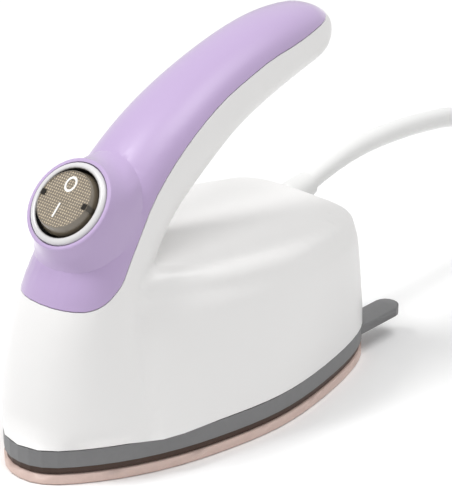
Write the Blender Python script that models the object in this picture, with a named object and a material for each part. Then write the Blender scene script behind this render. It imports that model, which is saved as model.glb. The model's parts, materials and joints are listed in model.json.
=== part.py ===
"""Mini handheld heat press with a round rocker switch, an open-ended handle and a mains lead.

Metres, +Z up. The nose points along -Y and the body is symmetric about X = 0.
The origin lies on the surface that the press stands on, under the middle of its box without the lead.
"""

import math

import bmesh
import bpy
import numpy as np
from mathutils import Matrix, Vector

# Overall sizes
BODY_LENGTH = 0.121
BODY_WIDTH = 0.0664
HEEL_REACH = 0.0125
HANDLE_HEIGHT = 0.0948
HANDLE_WIDTH = 0.0268
HANDLE_DEPTH = 0.0228
WALL = 0.0022
FIT_GAP = 0.0003
OVERRUN = 0.002
FAR = 0.04

# Stack of the sole
PLATE_THICKNESS = 0.0029
PLATE_INSET = 0.0001
PLATE_EDGE = 0.0004
PLATFORM_HEIGHT = 0.0062
PLATFORM_INSET = 0.007
GASKET_THICKNESS = 0.0017
GASKET_INSET = 0.0007
GASKET_WIDTH = 0.0028
BAND_HEIGHT = 0.0048
BAND_INSET = 0.0001
BAND_WIDTH = 0.005

# Rear block
BLOCK_FRONT_HEIGHT = 0.0545
BLOCK_REAR_HEIGHT = 0.0452
BLOCK_DRAFT = 0.0036
BLOCK_EDGE = 0.0055
BLOCK_NOSE_START = 0.0008
BLOCK_NOSE_SETBACK_SHARE = 0.1488
BLOCK_NOSE_POWER = 0.8
BLOCK_DRAFT_POWER = 1.4
BLOCK_LEVEL_SHARES = (0.0, 0.2, 0.4, 0.6, 0.78)
BLEND_CENTRE_SHARE = 0.3719
BLEND_REACH = 0.008
BLEND_FRONT_SHARES = (-0.82, -0.55)
BLEND_SIDES = 40

# Heel prongs of the band
PRONG_WIDTH = 0.0074
PRONG_PLACE_SHARE = 0.2861
PRONG_BOTTOM = 0.0068
PRONG_TOP = 0.0095
PRONG_ROOT = 0.016

# Switch
SWITCH_TILT = math.radians(42)
BOSS_REACH = 0.0182
BEZEL_RADIUS = 0.0115
BEZEL_PROUD = 0.0008
BEZEL_SEAT_DEPTH = 0.0012
BEZEL_OPENING_RADIUS = 0.00972
SWITCH_BODY_RADIUS = 0.0103
SWITCH_BODY_DEPTH = 0.0135
SWITCH_POCKET_RADIUS = 0.0095
SWITCH_FLOOR = 0.0014
LIP_WIDTH = 0.0011
SWITCH_HOLE_CLEARANCE = 0.0003
ROCKER_FACE_RADIUS = 0.0083
ROCKER_FACE_EDGE = 0.0003
ROCKER_RADIUS = 0.0092
ROCKER_PIVOT_DEPTH = 0.0025
ROCKER_RISE = 0.0051
ROCKER_SKIRT = 0.0034
ROCKER_SKIRT_RADIUS = 0.0086
ROCKER_SKIN = 0.0011
ROCKER_TRAVEL = math.radians(14)
ROCKER_PIN_RADIUS = 0.0008
ROCKER_PIN_REACH = 0.0099
PIN_CLEARANCE = 0.0001
PLUNGER_RADIUS = 0.0011
PLUNGER_LENGTH = 0.0052
PLUNGER_TIP_DEPTH = 0.0064
SPRING_RADIUS = 0.0009
SPRING_WIRE_RADIUS = 0.00016
SPRING_TURNS = 5
PLUNGER_TUBE_WALL = 0.0007
CONTACT_TILT = math.radians(6)
CONTACT_LENGTH = 0.0092
CONTACT_WIDTH = 0.0028
CONTACT_THICKNESS = 0.0005
TERMINAL_WIDTH = 0.0048
TERMINAL_THICKNESS = 0.0008
TERMINAL_REACH = 0.0065
TERMINAL_SPACING = 0.0064
LAMP_RADIUS = 0.0013
LAMP_LENGTH = 0.006
LAMP_OFFSET = 0.0049

# Fasteners
SCREW_SHANK_RADIUS = 0.00125
SCREW_HEAD_RADIUS = 0.0026
SCREW_HEAD_HEIGHT = 0.0015
SCREW_HOLE_CLEARANCE = 0.0002
SCREW_BITE = 0.0042
POST_RADIUS = 0.003
BOSS_RADIUS = 0.0038

# Heater
ELEMENT_RADIUS = 0.0032
ELEMENT_HEIGHT = 0.0064
ELEMENT_LEG_X = 0.0105
ELEMENT_FRONT_SHARE = 0.2769
ELEMENT_REAR_SHARE = 0.7355
ELEMENT_BEND = 0.0085
ELEMENT_TOP = 0.0235
ELEMENT_PIN_RADIUS = 0.0012
ELEMENT_PIN_LENGTH = 0.005
PRESS_PLATE_WIDTH_SHARE = 0.4367
PRESS_PLATE_LENGTH = 0.048
PRESS_PLATE_THICKNESS = 0.001
PRESS_PLATE_CENTRE_SHARE = 0.5289
PRESS_SCREW_SPACING = 0.024
THERMOSTAT_RADIUS = 0.0072
THERMOSTAT_FLANGE_RADIUS = 0.0082
THERMOSTAT_FLANGE_HEIGHT = 0.0012
THERMOSTAT_HEIGHT = 0.0085
THERMOSTAT_TAB_WIDTH = 0.0045
THERMOSTAT_TAB_THICKNESS = 0.0008
THERMOSTAT_TAB_REACH = 0.0075
PAD_THICKNESS = 0.003
SLOT_WIDTH = 0.0184
SLOT_LENGTH = 0.038
SHIELD_INSET = 0.0036
SHIELD_NOSE_SHARE = 0.1446
SHIELD_THICKNESS = 0.0008
SHIELD_HEIGHT = 0.0054
LEG_SLOT_WIDTH = 0.031
LEG_SLOT_LENGTH = 0.0095
FUSE_RADIUS = 0.002
FUSE_LENGTH = 0.013
FUSE_PLACE_SHARES = (0.2485, 0.5289)
CLIP_THICKNESS = 0.0006
CLIP_WIDTH = 0.005
CLIP_FOOT = 0.0035

# Fixings of the plate, the band and the housing
PLATE_SCREW_SIDE_SHARE = 0.2711
PLATE_SCREW_PLACE_SHARES = (0.3967, 0.7769)
LUG_THICKNESS = 0.0018
LUG_WIDTH = 0.0078
FRONT_FIXING_SHARE = 0.1033
UPSTAND_BOTTOM = 0.0077
FRONT_UPSTAND_TOP = 0.017
FRONT_BOSS_TOP = 0.0265
REAR_FIXING_HEIGHT = 0.0195
REAR_UPSTAND_TOP = 0.0245
REAR_UPSTAND_DEPTH = 0.005
REAR_UPSTAND_WIDTH = 0.0095
REAR_UPSTAND_SETBACK = 0.0058
RIB_THICKNESS = 0.0018
RIB_FRONT_SHARE = 0.0347
RIB_SLANT = 0.0014
COVER_POST_RADIUS = 0.0028

# Lead
CORD_DIAMETER = 0.0062
CORD_LENGTH = 1.6
CORD_EXIT_X = -0.0090
CORD_EXIT_HEIGHT = 0.0388
CORD_TILT = math.radians(14)
CORD_INSIDE = 0.0203
RELIEF_BORE_CLEARANCE = 0.0003
RELIEF_NECK_RADIUS = 0.0040
RELIEF_FLANGE_RADIUS = 0.0054
RELIEF_FLANGE_THICKNESS = 0.0016
RELIEF_COLLAR_RADIUS = 0.0046
RELIEF_COLLAR_THICKNESS = 0.0009
RELIEF_SEAT = 0.0022
RELIEF_OUTSIDE = 0.0078
RELIEF_INSIDE = 0.008
RELIEF_TIP_RADIUS = 0.0037
CLAMP_WIDTH = 0.025
CLAMP_DEPTH = 0.006
CLAMP_THICKNESS = 0.0025
CLAMP_SETBACK = 0.0165
CLAMP_SCREW_X = 0.0085

# Coil of the lead that is put away
COIL_CENTRE_X = 0.015
COIL_DISTANCE = 0.156
COIL_LOOPS = 3
COIL_MIDDLE_RADIUS = 0.0345
COIL_PITCH = 0.0069
COIL_LIFT = 0.0015
COIL_END_RUN = 0.014
CORD_STEP = 0.0045
LOOP_POINTS = 24
TIE_THICKNESS = 0.001
TIE_WIDTH = 0.009
TIE_CLEARANCE = 0.0008
PLUG_LENGTH = 0.034
PLUG_WIDTH = 0.025
PLUG_RELIEF_LENGTH = 0.016
PLUG_RELIEF_RADIUS = 0.0048
PLUG_RELIEF_TAPER_SHARE = 0.85
PLUG_RELIEF_CORNER_SHARE = 0.98
PLUG_SHOULDER_SHARES = (0.8, 0.86)
BLADE_WIDTH = 0.0063
BLADE_THICKNESS = 0.0015
BLADE_LENGTH = 0.017
BLADE_SPACING = 0.0127
EARTH_PIN_RADIUS = 0.0024
EARTH_PIN_LENGTH = 0.0205
EARTH_PIN_RISE = 0.0058

# Inner leads
LEAD_RADIUS = 0.0011
LEAD_STEP = 0.0035
LEAD_END_RUN = 0.0012
CORE_SPREAD = 0.00145
TAG_THICKNESS = 0.0008
TAG_RADIUS = 0.0034
TAG_TAIL_WIDTH = 0.0034
TAG_TAIL_HEIGHT = 0.006
SPLICE_X = -0.017
SPLICE_PLACE_SHARE = 0.6777
SPLICE_RADIUS = 0.0029
SPLICE_LENGTH = 0.009
SPLICE_BOTTOM = 0.0168
LEAD_OFFSET = 0.0013

# Middle points of the inner leads, in metres from the nose at floor level, for a body of ROUTE_BODY_LENGTH
ROUTE_BODY_LENGTH = 0.121
LIVE_ROUTE = (
    (-0.0066, 0.088, 0.0318), (-0.006, 0.074, 0.0318), (-0.0055, 0.058, 0.032), (-0.004, 0.0465, 0.0345),
    (-0.0026, 0.0397, 0.0402), (-0.002, 0.038, 0.0465), (-0.0018, 0.0386, 0.0522),
)
SWITCHED_ROUTE = (
    (0.0026, 0.041, 0.0556), (0.004, 0.0398, 0.05), (0.0046, 0.0385, 0.044), (0.0046, 0.041, 0.0368),
    (0.0036, 0.049, 0.0322), (0.0016, 0.0565, 0.0322),
)
LAMP_ROUTE = (
    (-0.0018, 0.0342, 0.0502), (-0.005, 0.0345, 0.0448), (-0.0085, 0.037, 0.0375), (-0.013, 0.0465, 0.0312),
    (-0.0168, 0.062, 0.0296), (-0.0181, 0.0755, 0.0296),
)
FUSE_FRONT_ROUTE = ((0.0035, 0.065, 0.0305), (0.009, 0.059, 0.028), (0.0145, 0.0525, 0.0228))
FUSE_REAR_ROUTE = ((0.0165, 0.078, 0.0192), (0.0155, 0.0865, 0.0248), (0.0125, 0.0935, 0.0312))
NEUTRAL_ROUTE = ((-0.0104, 0.0915, 0.0348), (-0.0144, 0.0868, 0.0345))
HEATER_ROUTE = ((-0.0120, 0.0952, 0.0308), (-0.0126, 0.0890, 0.0304), (-0.0128, 0.0838, 0.0304))
EARTH_ROUTE = ((-0.0036, 0.093, 0.0306), (-0.001, 0.0915, 0.0255), (0.0, 0.0928, 0.0192))

# Derived places
OVERALL_LENGTH = BODY_LENGTH + HEEL_REACH
NOSE_Y = -OVERALL_LENGTH / 2
REAR_Y = NOSE_Y + BODY_LENGTH
BLOCK_NOSE_SETBACK = BLOCK_NOSE_SETBACK_SHARE * BODY_LENGTH
BLEND_CENTRE = BLEND_CENTRE_SHARE * BODY_LENGTH
PRONG_CENTRE_X = PRONG_PLACE_SHARE * BODY_WIDTH
ELEMENT_FRONT = ELEMENT_FRONT_SHARE * BODY_LENGTH
ELEMENT_REAR = ELEMENT_REAR_SHARE * BODY_LENGTH
PRESS_PLATE_CENTRE = PRESS_PLATE_CENTRE_SHARE * BODY_LENGTH
PRESS_PLATE_WIDTH = PRESS_PLATE_WIDTH_SHARE * BODY_WIDTH
SHIELD_NOSE = SHIELD_NOSE_SHARE * BODY_LENGTH
FUSE_X = FUSE_PLACE_SHARES[0] * BODY_WIDTH
FUSE_Y = FUSE_PLACE_SHARES[1] * BODY_LENGTH
PLATE_SCREW_X = PLATE_SCREW_SIDE_SHARE * BODY_WIDTH
PLATE_SCREW_FRONT = PLATE_SCREW_PLACE_SHARES[0] * BODY_LENGTH
PLATE_SCREW_REAR = PLATE_SCREW_PLACE_SHARES[1] * BODY_LENGTH
FRONT_FIXING_Y = FRONT_FIXING_SHARE * BODY_LENGTH
RIB_FRONT = RIB_FRONT_SHARE * BODY_LENGTH
SPLICE_Y = SPLICE_PLACE_SHARE * BODY_LENGTH
COIL_CENTRE_Y = REAR_Y + COIL_DISTANCE
GASKET_BOTTOM = PLATE_THICKNESS + FIT_GAP
BAND_BOTTOM = GASKET_BOTTOM + GASKET_THICKNESS + FIT_GAP
BAND_TOP = BAND_BOTTOM + BAND_HEIGHT
HOUSING_BOTTOM = BAND_TOP + FIT_GAP
PRESS_PLATE_BOTTOM = ELEMENT_HEIGHT + ELEMENT_RADIUS + FIT_GAP
PRESS_PLATE_TOP = PRESS_PLATE_BOTTOM + PRESS_PLATE_THICKNESS
PAD_BOTTOM = PRESS_PLATE_TOP + FIT_GAP
SHIELD_BOTTOM = BAND_TOP + FIT_GAP
SHIELD_TOP = SHIELD_BOTTOM + SHIELD_HEIGHT
CORD_RADIUS = CORD_DIAMETER / 2

# Half of the plan outline, nose to rear, as shares of the half width and of the length
OUTLINE_SHARES = (
    (0.0, 0.0), (0.24, 0.020), (0.468, 0.088), (0.668, 0.177), (0.825, 0.282), (0.922, 0.386),
    (0.985, 0.488), (1.0, 0.583), (0.962, 0.685), (0.880, 0.800), (0.782, 0.889), (0.672, 0.948),
    (0.52, 0.983), (0.28, 0.998), (0.0, 1.0),
)
OUTLINE_POINTS = 64
OUTLINE_FINE = 300

# Spine of the column and handle, from the sole to the tip: place along the length, height,
# half width and half depth, as shares of BODY_LENGTH, HANDLE_HEIGHT and half the handle's section
SPINE_SHARES = (
    (0.2653, 0.085, 1.980, 2.600), (0.2215, 0.2943, 1.500, 2.026), (0.2207, 0.480, 1.179, 1.456),
    (0.2880, 0.634, 1.055, 1.180), (0.3722, 0.7437, 1.012, 1.080), (0.4766, 0.8330, 1.004, 1.012),
    (0.5932, 0.9065, 0.938, 0.940), (0.7306, 0.9633, 0.888, 0.888), (0.8630, 0.9935, 0.800, 0.800),
    (1.0030, 0.998, 0.585, 0.585),
)
SECTION_POWER = 2.3
SECTION_POINTS = 32
SPINE_RINGS = 24
HANDLE_END_ROUND = 0.0111
END_RINGS = 7
END_TIP_SHARE = 0.7
COLUMN_TOP = 0.038
COLUMN_TOP_STEP = 1.78
COLUMN_SPREAD_HEIGHT = 0.006
COLUMN_LEVEL_SHARES = (0.0, 0.06, 0.14, 0.24, 0.38, 0.54, 0.77, 1.0)

# Seam between housing and cover, front to tip, as shares of BODY_LENGTH and HANDLE_HEIGHT
SEAM_SHARES = (
    (-0.165, 0.4995), (0.066, 0.4995), (0.0925, 0.4970), (0.1185, 0.4955), (0.1389, 0.4998), (0.1576, 0.5075),
    (0.1742, 0.5185), (0.1909, 0.5315), (0.2095, 0.5505), (0.2264, 0.5785), (0.2466, 0.6145),
    (0.2690, 0.6520), (0.3078, 0.7185), (0.3518, 0.7770), (0.4015, 0.8310),
    (0.4560, 0.8778), (0.5138, 0.9170), (0.5782, 0.9515), (0.6490, 0.9795), (0.7217, 1.0040), (0.7920, 1.0165),
    (0.8587, 1.0290), (0.9270, 1.0410), (0.985, 1.0510), (1.157, 1.0590),
)
SEAM_STEPS = 36
ZONE_TOP_SHARE = 1.7

# Boss rings: depth, half width and half height as shares of BOSS_REACH and the lip's radius
BOSS_RING_SHARES = (
    (0.0, 0.966, 0.966), (0.01, 0.992, 0.992), (0.038, 1.012, 1.012), (0.14, 1.04, 1.07), (0.275, 1.055, 1.21),
    (0.395, 1.06, 1.43), (0.55, 1.06, 1.6), (0.85, 1.06, 1.6),
)
BOSS_STATION_SHARE = 0.329

# Domed top of the bezel: place from its opening to its rim, and height, as shares of its width and rise
BEZEL_TOP_SHARES = ((1.0, 0.0), (0.84, 0.6), (0.55, 1.0), (0.2, 0.95), (0.0, 0.6))
BOSS_SIDES = 40
COVER_SCREW_STATION_SHARES = (0.56, 0.83)
COVER_POST_ROOT_SHARE = 0.85

# Route of the free lead after the strain relief, in metres from the nose at floor level, for the same body
CORD_ROUTE = (
    (-0.0091, 0.1295, 0.0419), (-0.0096, 0.1370, 0.0432), (-0.0101, 0.1457, 0.0442),
    (-0.0106, 0.1560, 0.0445), (-0.0112, 0.1680, 0.0438), (-0.0120, 0.1800, 0.0424),
    (-0.0127, 0.1910, 0.0406), (-0.0134, 0.2020, 0.0382), (-0.0160, 0.2140, 0.0322),
    (-0.0203, 0.2271, 0.0222), (-0.0252, 0.2407, 0.0122), (-0.0284, 0.2520, 0.0066),
)
SMALL_SIDES = 12
ROUND_SIDES = 20
LEAD_SIDES_SETTING = 1


def clear_scene():
    for obj in list(bpy.data.objects):
        bpy.data.objects.remove(obj)


def material(name, colour, roughness, metallic=0.0):
    made = bpy.data.materials.get(name)
    if made is None:
        made = bpy.data.materials.new(name)
        made.use_nodes = True
        shader = made.node_tree.nodes["Principled BSDF"]
        shader.inputs["Base Color"].default_value = (*colour, 1)
        shader.inputs["Roughness"].default_value = roughness
        shader.inputs["Metallic"].default_value = metallic
        made.diffuse_color = (*colour, 1)
    return made


MATERIALS = {
    "white_plastic": ((0.85, 0.85, 0.85), 0.45, 0.0),
    "lavender_plastic": ((0.56, 0.45, 0.68), 0.4, 0.0),
    "grey_plastic": ((0.15, 0.15, 0.15), 0.5, 0.0),
    "brown_rubber": ((0.05, 0.03, 0.025), 0.6, 0.0),
    "rose_coating": ((0.6, 0.45, 0.4), 0.45, 0.0),
    "bezel_plastic": ((0.84, 0.82, 0.76), 0.35, 0.0),
    "smoked_plastic": ((0.22, 0.17, 0.12), 0.15, 0.0),
    "black_plastic": ((0.02, 0.02, 0.02), 0.4, 0.0),
    "cord_plastic": ((0.8, 0.8, 0.8), 0.5, 0.0),
    "steel": ((0.55, 0.55, 0.55), 0.35, 1.0),
    "aluminium": ((0.7, 0.7, 0.7), 0.4, 1.0),
    "brass": ((0.7, 0.5, 0.2), 0.35, 1.0),
    "ceramic": ((0.75, 0.72, 0.66), 0.6, 0.0),
    "glass_fibre": ((0.7, 0.68, 0.6), 0.9, 0.0),
    "glass": ((0.8, 0.6, 0.4), 0.1, 0.0),
    "brown_lead": ((0.12, 0.05, 0.02), 0.5, 0.0),
    "blue_lead": ((0.02, 0.08, 0.4), 0.5, 0.0),
    "green_lead": ((0.1, 0.35, 0.05), 0.5, 0.0),
}


def smooth_object(obj):
    obj.data.shade_smooth()
    obj.data.set_sharp_from_angle(angle=math.radians(35))


def add_mesh(name, points, faces, finish=None, cutter=False):
    """A closed mesh object; a cutter is left out of the model."""
    mesh = bpy.data.meshes.new(name)
    mesh.from_pydata([tuple(p) for p in points], [], faces)
    made = bmesh.new()
    made.from_mesh(mesh)
    bmesh.ops.recalc_face_normals(made, faces=made.faces)
    made.to_mesh(mesh)
    made.free()
    obj = bpy.data.objects.new(name, mesh)
    bpy.context.scene.collection.objects.link(obj)
    smooth_object(obj)
    if cutter:
        obj.hide_render = True
        obj.display_type = "WIRE"
    else:
        mesh.materials.append(material(finish, *MATERIALS[finish]))
    return obj


def combine(obj, other, operation):
    step = obj.modifiers.new(other.name, "BOOLEAN")
    step.operation = operation
    step.object = other
    step.solver = "EXACT"
    return obj


def cut(obj, *others):
    for other in others:
        combine(obj, other, "DIFFERENCE")
    return obj


def join(obj, *others):
    for other in others:
        combine(obj, other, "UNION")
    return obj


def loft(rings):
    """Points and faces through rings of equal count, with both ends capped."""
    count = len(rings[0])
    points = [p for ring in rings for p in ring]
    faces = [list(range(count))[::-1]]
    for i in range(len(rings) - 1):
        for j in range(count):
            k = (j + 1) % count
            faces.append([i * count + j, i * count + k, (i + 1) * count + k, (i + 1) * count + j])
    faces.append([(len(rings) - 1) * count + j for j in range(count)])
    return points, faces


def turned(profile, sides):
    """Points and faces of a profile of (radius, height) turned about Z, a ring if it never meets the axis."""
    solid = profile[0][0] == 0
    rings = [spot for spot in profile if spot[0] > 0]
    points = []
    for radius, height in rings:
        for j in range(sides):
            turn = 2 * math.pi * j / sides
            points.append((radius * math.cos(turn), radius * math.sin(turn), height))
    count = len(rings)
    faces = []
    for i in range(count - 1 if solid else count):
        n = (i + 1) % count
        for j in range(sides):
            k = (j + 1) % sides
            faces.append([i * sides + j, i * sides + k, n * sides + k, n * sides + j])
    if solid:
        faces.append(list(range(sides))[::-1])
        faces.append([(count - 1) * sides + j for j in range(sides)])
    return points, faces


def placed(points, matrix):
    return [tuple(matrix @ Vector(p)) for p in points]


def at(x, y, z):
    """A place given from the nose: y runs back along the body."""
    return Matrix.Translation((x, NOSE_Y + y, z))


def box_shape(low, high):
    corners = [
        [(low[0], low[1], z), (high[0], low[1], z), (high[0], high[1], z), (low[0], high[1], z)]
        for z in (low[2], high[2])
    ]
    return loft(corners)


def rounded_ring(width, length, radius, z, steps=4):
    """A rounded rectangle about the Z axis."""
    ring = []
    for n, (sx, sy) in enumerate(((1, 1), (-1, 1), (-1, -1), (1, -1))):
        for i in range(steps + 1):
            turn = math.pi / 2 * (n + i / steps)
            x = sx * (width / 2 - radius) + radius * math.cos(turn)
            y = sy * (length / 2 - radius) + radius * math.sin(turn)
            ring.append((x, y, z))
    return ring


def slab(width, length, radius, bottom, top):
    return loft([rounded_ring(width, length, radius, z) for z in (bottom, top)])


def disc(radius, bottom, top, sides=SMALL_SIDES):
    return turned(((0, bottom), (radius, bottom), (radius, top), (0, top)), sides)


def spline(knots, steps, closed=False):
    """Values and slopes of the cubic curve through the knots, at steps counted in knots."""
    knots = np.asarray(knots, float)
    count = len(knots)
    system = np.zeros((count, count))
    right = np.zeros_like(knots)
    for i in range(count):
        system[i, i] = 4 if closed or 0 < i < count - 1 else 1
        if closed or 0 < i < count - 1:
            before, after = (i - 1) % count, (i + 1) % count
            system[i, before] = system[i, after] = 1
            right[i] = 6 * (knots[before] - 2 * knots[i] + knots[after])
    bend = np.linalg.solve(system, right)
    values, slopes = [], []
    for step in steps:
        i = min(int(step), count - 1 if closed else count - 2)
        k = (i + 1) % count
        u = step - i
        v = 1 - u
        values.append(v * knots[i] + u * knots[k] + ((v**3 - v) * bend[i] + (u**3 - u) * bend[k]) / 6)
        slopes.append(knots[k] - knots[i] + ((1 - 3 * v**2) * bend[i] + (3 * u**2 - 1) * bend[k]) / 6)
    return np.array(values), np.array(slopes)


def base_outline(count):
    """The closed plan outline as shares, nose first, counter-clockwise from above."""
    half = list(OUTLINE_SHARES)
    whole = half + [(-x, y) for x, y in half[-2:0:-1]]
    steps = np.linspace(0, len(whole), count, endpoint=False)
    return spline(whole, steps, closed=True)[0]


OUTLINE = base_outline(OUTLINE_POINTS)


def drawn_in(flat, inset):
    """A closed flat outline moved inwards along its own normals."""
    along = np.roll(flat, -1, axis=0) - np.roll(flat, 1, axis=0)
    along /= np.linalg.norm(along, axis=1)[:, None]
    return flat + np.stack([-along[:, 1], along[:, 0]], axis=1) * inset


def outline_ring(inset, z, nose=0.0):
    """The plan outline drawn in by the inset, with its nose set back."""
    flat = np.array([(x * BODY_WIDTH / 2, nose + y * (BODY_LENGTH - nose)) for x, y in OUTLINE])
    return [(x, NOSE_Y + y, z) for x, y in drawn_in(flat, inset)]


def reach_of(outline, centre_y, direction):
    """Distance from a centre on the middle line to the far side of a closed outline; 0 if it is missed."""
    start = outline - np.array([0, centre_y])
    side = np.roll(start, -1, axis=0) - start
    cross = direction[0] * side[:, 1] - direction[1] * side[:, 0]
    cross = np.where(np.abs(cross) < 1e-12, 1e-12, cross)
    reach = (start[:, 0] * side[:, 1] - start[:, 1] * side[:, 0]) / cross
    share = (start[:, 0] * direction[1] - start[:, 1] * direction[0]) / cross
    hits = reach[(share >= -1e-9) & (share <= 1 + 1e-9) & (reach > 0)]
    return float(hits.max()) if len(hits) else 0.0


def block_top(y):
    """Height of the rear block's sloping top at a distance from the nose."""
    return BLOCK_FRONT_HEIGHT + (BLOCK_REAR_HEIGHT - BLOCK_FRONT_HEIGHT) * y / BODY_LENGTH


SPINE = [
    (y * BODY_LENGTH, z * HANDLE_HEIGHT, a * HANDLE_WIDTH / 2, b * HANDLE_DEPTH / 2)
    for y, z, a, b in SPINE_SHARES
]
SPINE_END = len(SPINE) - 1


def spine_table():
    steps = np.linspace(0, SPINE_END, 200)
    values = spline(SPINE, steps)[0]
    reach = np.concatenate([[0], np.cumsum(np.hypot(*np.diff(values[:, :2], axis=0).T))])
    return steps, reach


SPINE_STEPS, SPINE_REACH = spine_table()


def station(step):
    """Centre, direction along the spine, direction out to the cover, and half sizes at a step."""
    values, slopes = spline(SPINE, [step])
    y, z, half_width, half_depth = values[0]
    along = Vector((0, slopes[0][0], slopes[0][1])).normalized()
    out = Vector((0, -along.z, along.y))
    return Vector((0, NOSE_Y + y, z)), along, out, half_width, half_depth


def section(step, thinner, shrink, sides):
    centre, _, out, half_width, half_depth = station(step)
    ring = []
    for j in range(sides):
        turn = 2 * math.pi * j / sides
        c, s = math.cos(turn), math.sin(turn)
        across = math.copysign(abs(c) ** (2 / SECTION_POWER), c) * (half_width - thinner) * shrink
        outward = math.copysign(abs(s) ** (2 / SECTION_POWER), s) * (half_depth - thinner) * shrink
        ring.append(tuple(centre + Vector((across, 0, 0)) + out * outward))
    return ring


def column_table(thinner, sides):
    """Level outlines of the column below its first section, found along each line of the sweep."""
    steps = np.linspace(0, COLUMN_TOP_STEP + 1, 60)
    rings = np.array([section(step, thinner, 1, sides) for step in steps])
    return rings


def column_level(table, z, inset):
    """The column's level outline at a height, spreading to the plan outline at the bottom."""
    ring = [
        (np.interp(z, line[:, 2], line[:, 0]), np.interp(z, line[:, 2], line[:, 1]))
        for line in np.swapaxes(table, 0, 1)
    ]
    spread = max(0.0, 1 - (z - HOUSING_BOTTOM) / COLUMN_SPREAD_HEIGHT) ** 2
    centre = SPINE[0][0] + NOSE_Y
    sole = drawn_in(FINE_OUTLINE, inset)
    made = []
    for x, y in ring:
        away = math.hypot(x, y - centre)
        reach = reach_of(sole, centre, (x / away, (y - centre) / away))
        if y > centre:
            reach = min(reach - 2 * FIT_GAP, away)
        scale = 1 + min(spread, 1) * (reach / away - 1)
        made.append((x * scale, centre + (y - centre) * scale))
    return np.array(made)


FINE_OUTLINE = np.array(
    [(x * BODY_WIDTH / 2, NOSE_Y + y * BODY_LENGTH) for x, y in base_outline(OUTLINE_FINE)]
)


def handle_shape(thinner, rings, sides):
    """The column and handle swept along the spine with a round end, or their hollow."""
    table = column_table(thinner, sides)
    foot = column_level(table, HOUSING_BOTTOM, thinner)
    made = [[(x, y, HOUSING_BOTTOM - OVERRUN) for x, y in foot]]
    for share in COLUMN_LEVEL_SHARES:
        z = HOUSING_BOTTOM + share * (COLUMN_TOP - HOUSING_BOTTOM)
        made.append([(x, y, z) for x, y in column_level(table, z, thinner)])
    total = SPINE_REACH[-1]
    begin = np.interp(COLUMN_TOP_STEP, SPINE_STEPS, SPINE_REACH)
    start = total - HANDLE_END_ROUND
    for i in range(rings):
        reach = begin + (start - begin) * i / rings
        made.append(section(np.interp(reach, SPINE_REACH, SPINE_STEPS), thinner, 1, sides))
    for i in range(END_RINGS):
        turn = math.pi / 2 * i / (END_RINGS - END_TIP_SHARE)
        reach = start + (HANDLE_END_ROUND - thinner) * math.sin(turn)
        made.append(section(np.interp(reach, SPINE_REACH, SPINE_STEPS), thinner, math.cos(turn), sides))
    return loft(made)


def block_ring(table, share, inset, drop, thinner):
    """A ring of the rear block at a share of its height, flowing into the column on either side."""
    nose = BLOCK_NOSE_START + BLOCK_NOSE_SETBACK * max(share, 0) ** BLOCK_NOSE_POWER
    ring = outline_ring(BLOCK_DRAFT * share ** BLOCK_DRAFT_POWER + thinner, 0, nose)
    centre = NOSE_Y + BLEND_CENTRE
    made = []
    for x, y, _ in ring:
        away = math.hypot(x, y - centre)
        across, back = x / away, (y - centre) / away
        top = block_top(y - NOSE_Y) - thinner
        z = HOUSING_BOTTOM + (top - HOUSING_BOTTOM) * share
        column = reach_of(column_level(table, z, thinner), centre, (across, back)) - 2 * FIT_GAP
        near = max(BLEND_REACH - abs(away - column), 0) / BLEND_REACH
        blended = max(away, column) + near * near * BLEND_REACH / 4
        first, last = BLEND_FRONT_SHARES
        sideways = min(max((back - first) / (last - first), 0), 1)
        reach = away + (blended - away) * sideways - inset
        made.append((across * reach, centre + back * reach, z - drop))
    return made


def block_shape(thinner, edge_steps, below):
    """The rear block, or its hollow when drawn in by the wall."""
    table = column_table(thinner, BLEND_SIDES)
    rings = [block_ring(table, 0, 0, below, thinner)]
    rings += [block_ring(table, share, 0, 0, thinner) for share in BLOCK_LEVEL_SHARES]
    edge = BLOCK_EDGE - thinner
    for i in range(edge_steps + 1):
        turn = math.pi / 2 * i / edge_steps
        rings.append(block_ring(table, 1, edge * (1 - math.cos(turn)), edge * (1 - math.sin(turn)), thinner))
    return loft(rings)


def seam_points(shift):
    """Side view of the seam, moved out to the cover's side by the shift."""
    knots = np.array([(y * BODY_LENGTH, z * HANDLE_HEIGHT) for y, z in SEAM_SHARES])
    curve = spline(knots[1:-1], np.linspace(0, len(knots) - 3, SEAM_STEPS + 1))[0]
    seam = np.array([knots[0], *curve, knots[-1]])
    along = np.gradient(seam, axis=0)
    along /= np.linalg.norm(along, axis=1)[:, None]
    return seam + np.stack([-along[:, 1], along[:, 0]], axis=1) * shift


def cover_zone(name, shift):
    """The space in front of and above the seam, right across the body."""
    seam = seam_points(shift)
    top = HANDLE_HEIGHT * ZONE_TOP_SHARE
    side = [*seam, (seam[-1][0], top), (seam[0][0], top)]
    rings = [[(x, NOSE_Y + y, z) for y, z in side] for x in (-FAR, FAR)]
    return add_mesh(name, *loft(rings), cutter=True)


def switch_frame():
    """Placement of the switch: Z out of its face, Y towards the off mark."""
    centre = station(BOSS_STATION_SHARE * SPINE_END)[0]
    turn = Matrix.Rotation(math.pi / 2 - SWITCH_TILT, 4, "X")
    return Matrix.Translation(centre) @ turn @ Matrix.Translation((0, 0, BOSS_REACH))


SWITCH = switch_frame()
LIP_RADIUS = BEZEL_RADIUS + SWITCH_HOLE_CLEARANCE + LIP_WIDTH


def boss_shape():
    rings = []
    for depth, across, along in BOSS_RING_SHARES:
        ring = []
        for j in range(BOSS_SIDES):
            turn = 2 * math.pi * j / BOSS_SIDES
            x = LIP_RADIUS * across * math.cos(turn)
            y = LIP_RADIUS * along * math.sin(turn)
            ring.append((x, y, -BOSS_REACH * depth))
        rings.append(ring)
    points, faces = loft(rings)
    return placed(points, SWITCH), faces


def cutter_disc(name, radius, bottom, top, matrix, sides=ROUND_SIDES):
    points, faces = disc(radius, bottom, top, sides)
    return add_mesh(name, placed(points, matrix), faces, cutter=True)


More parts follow.
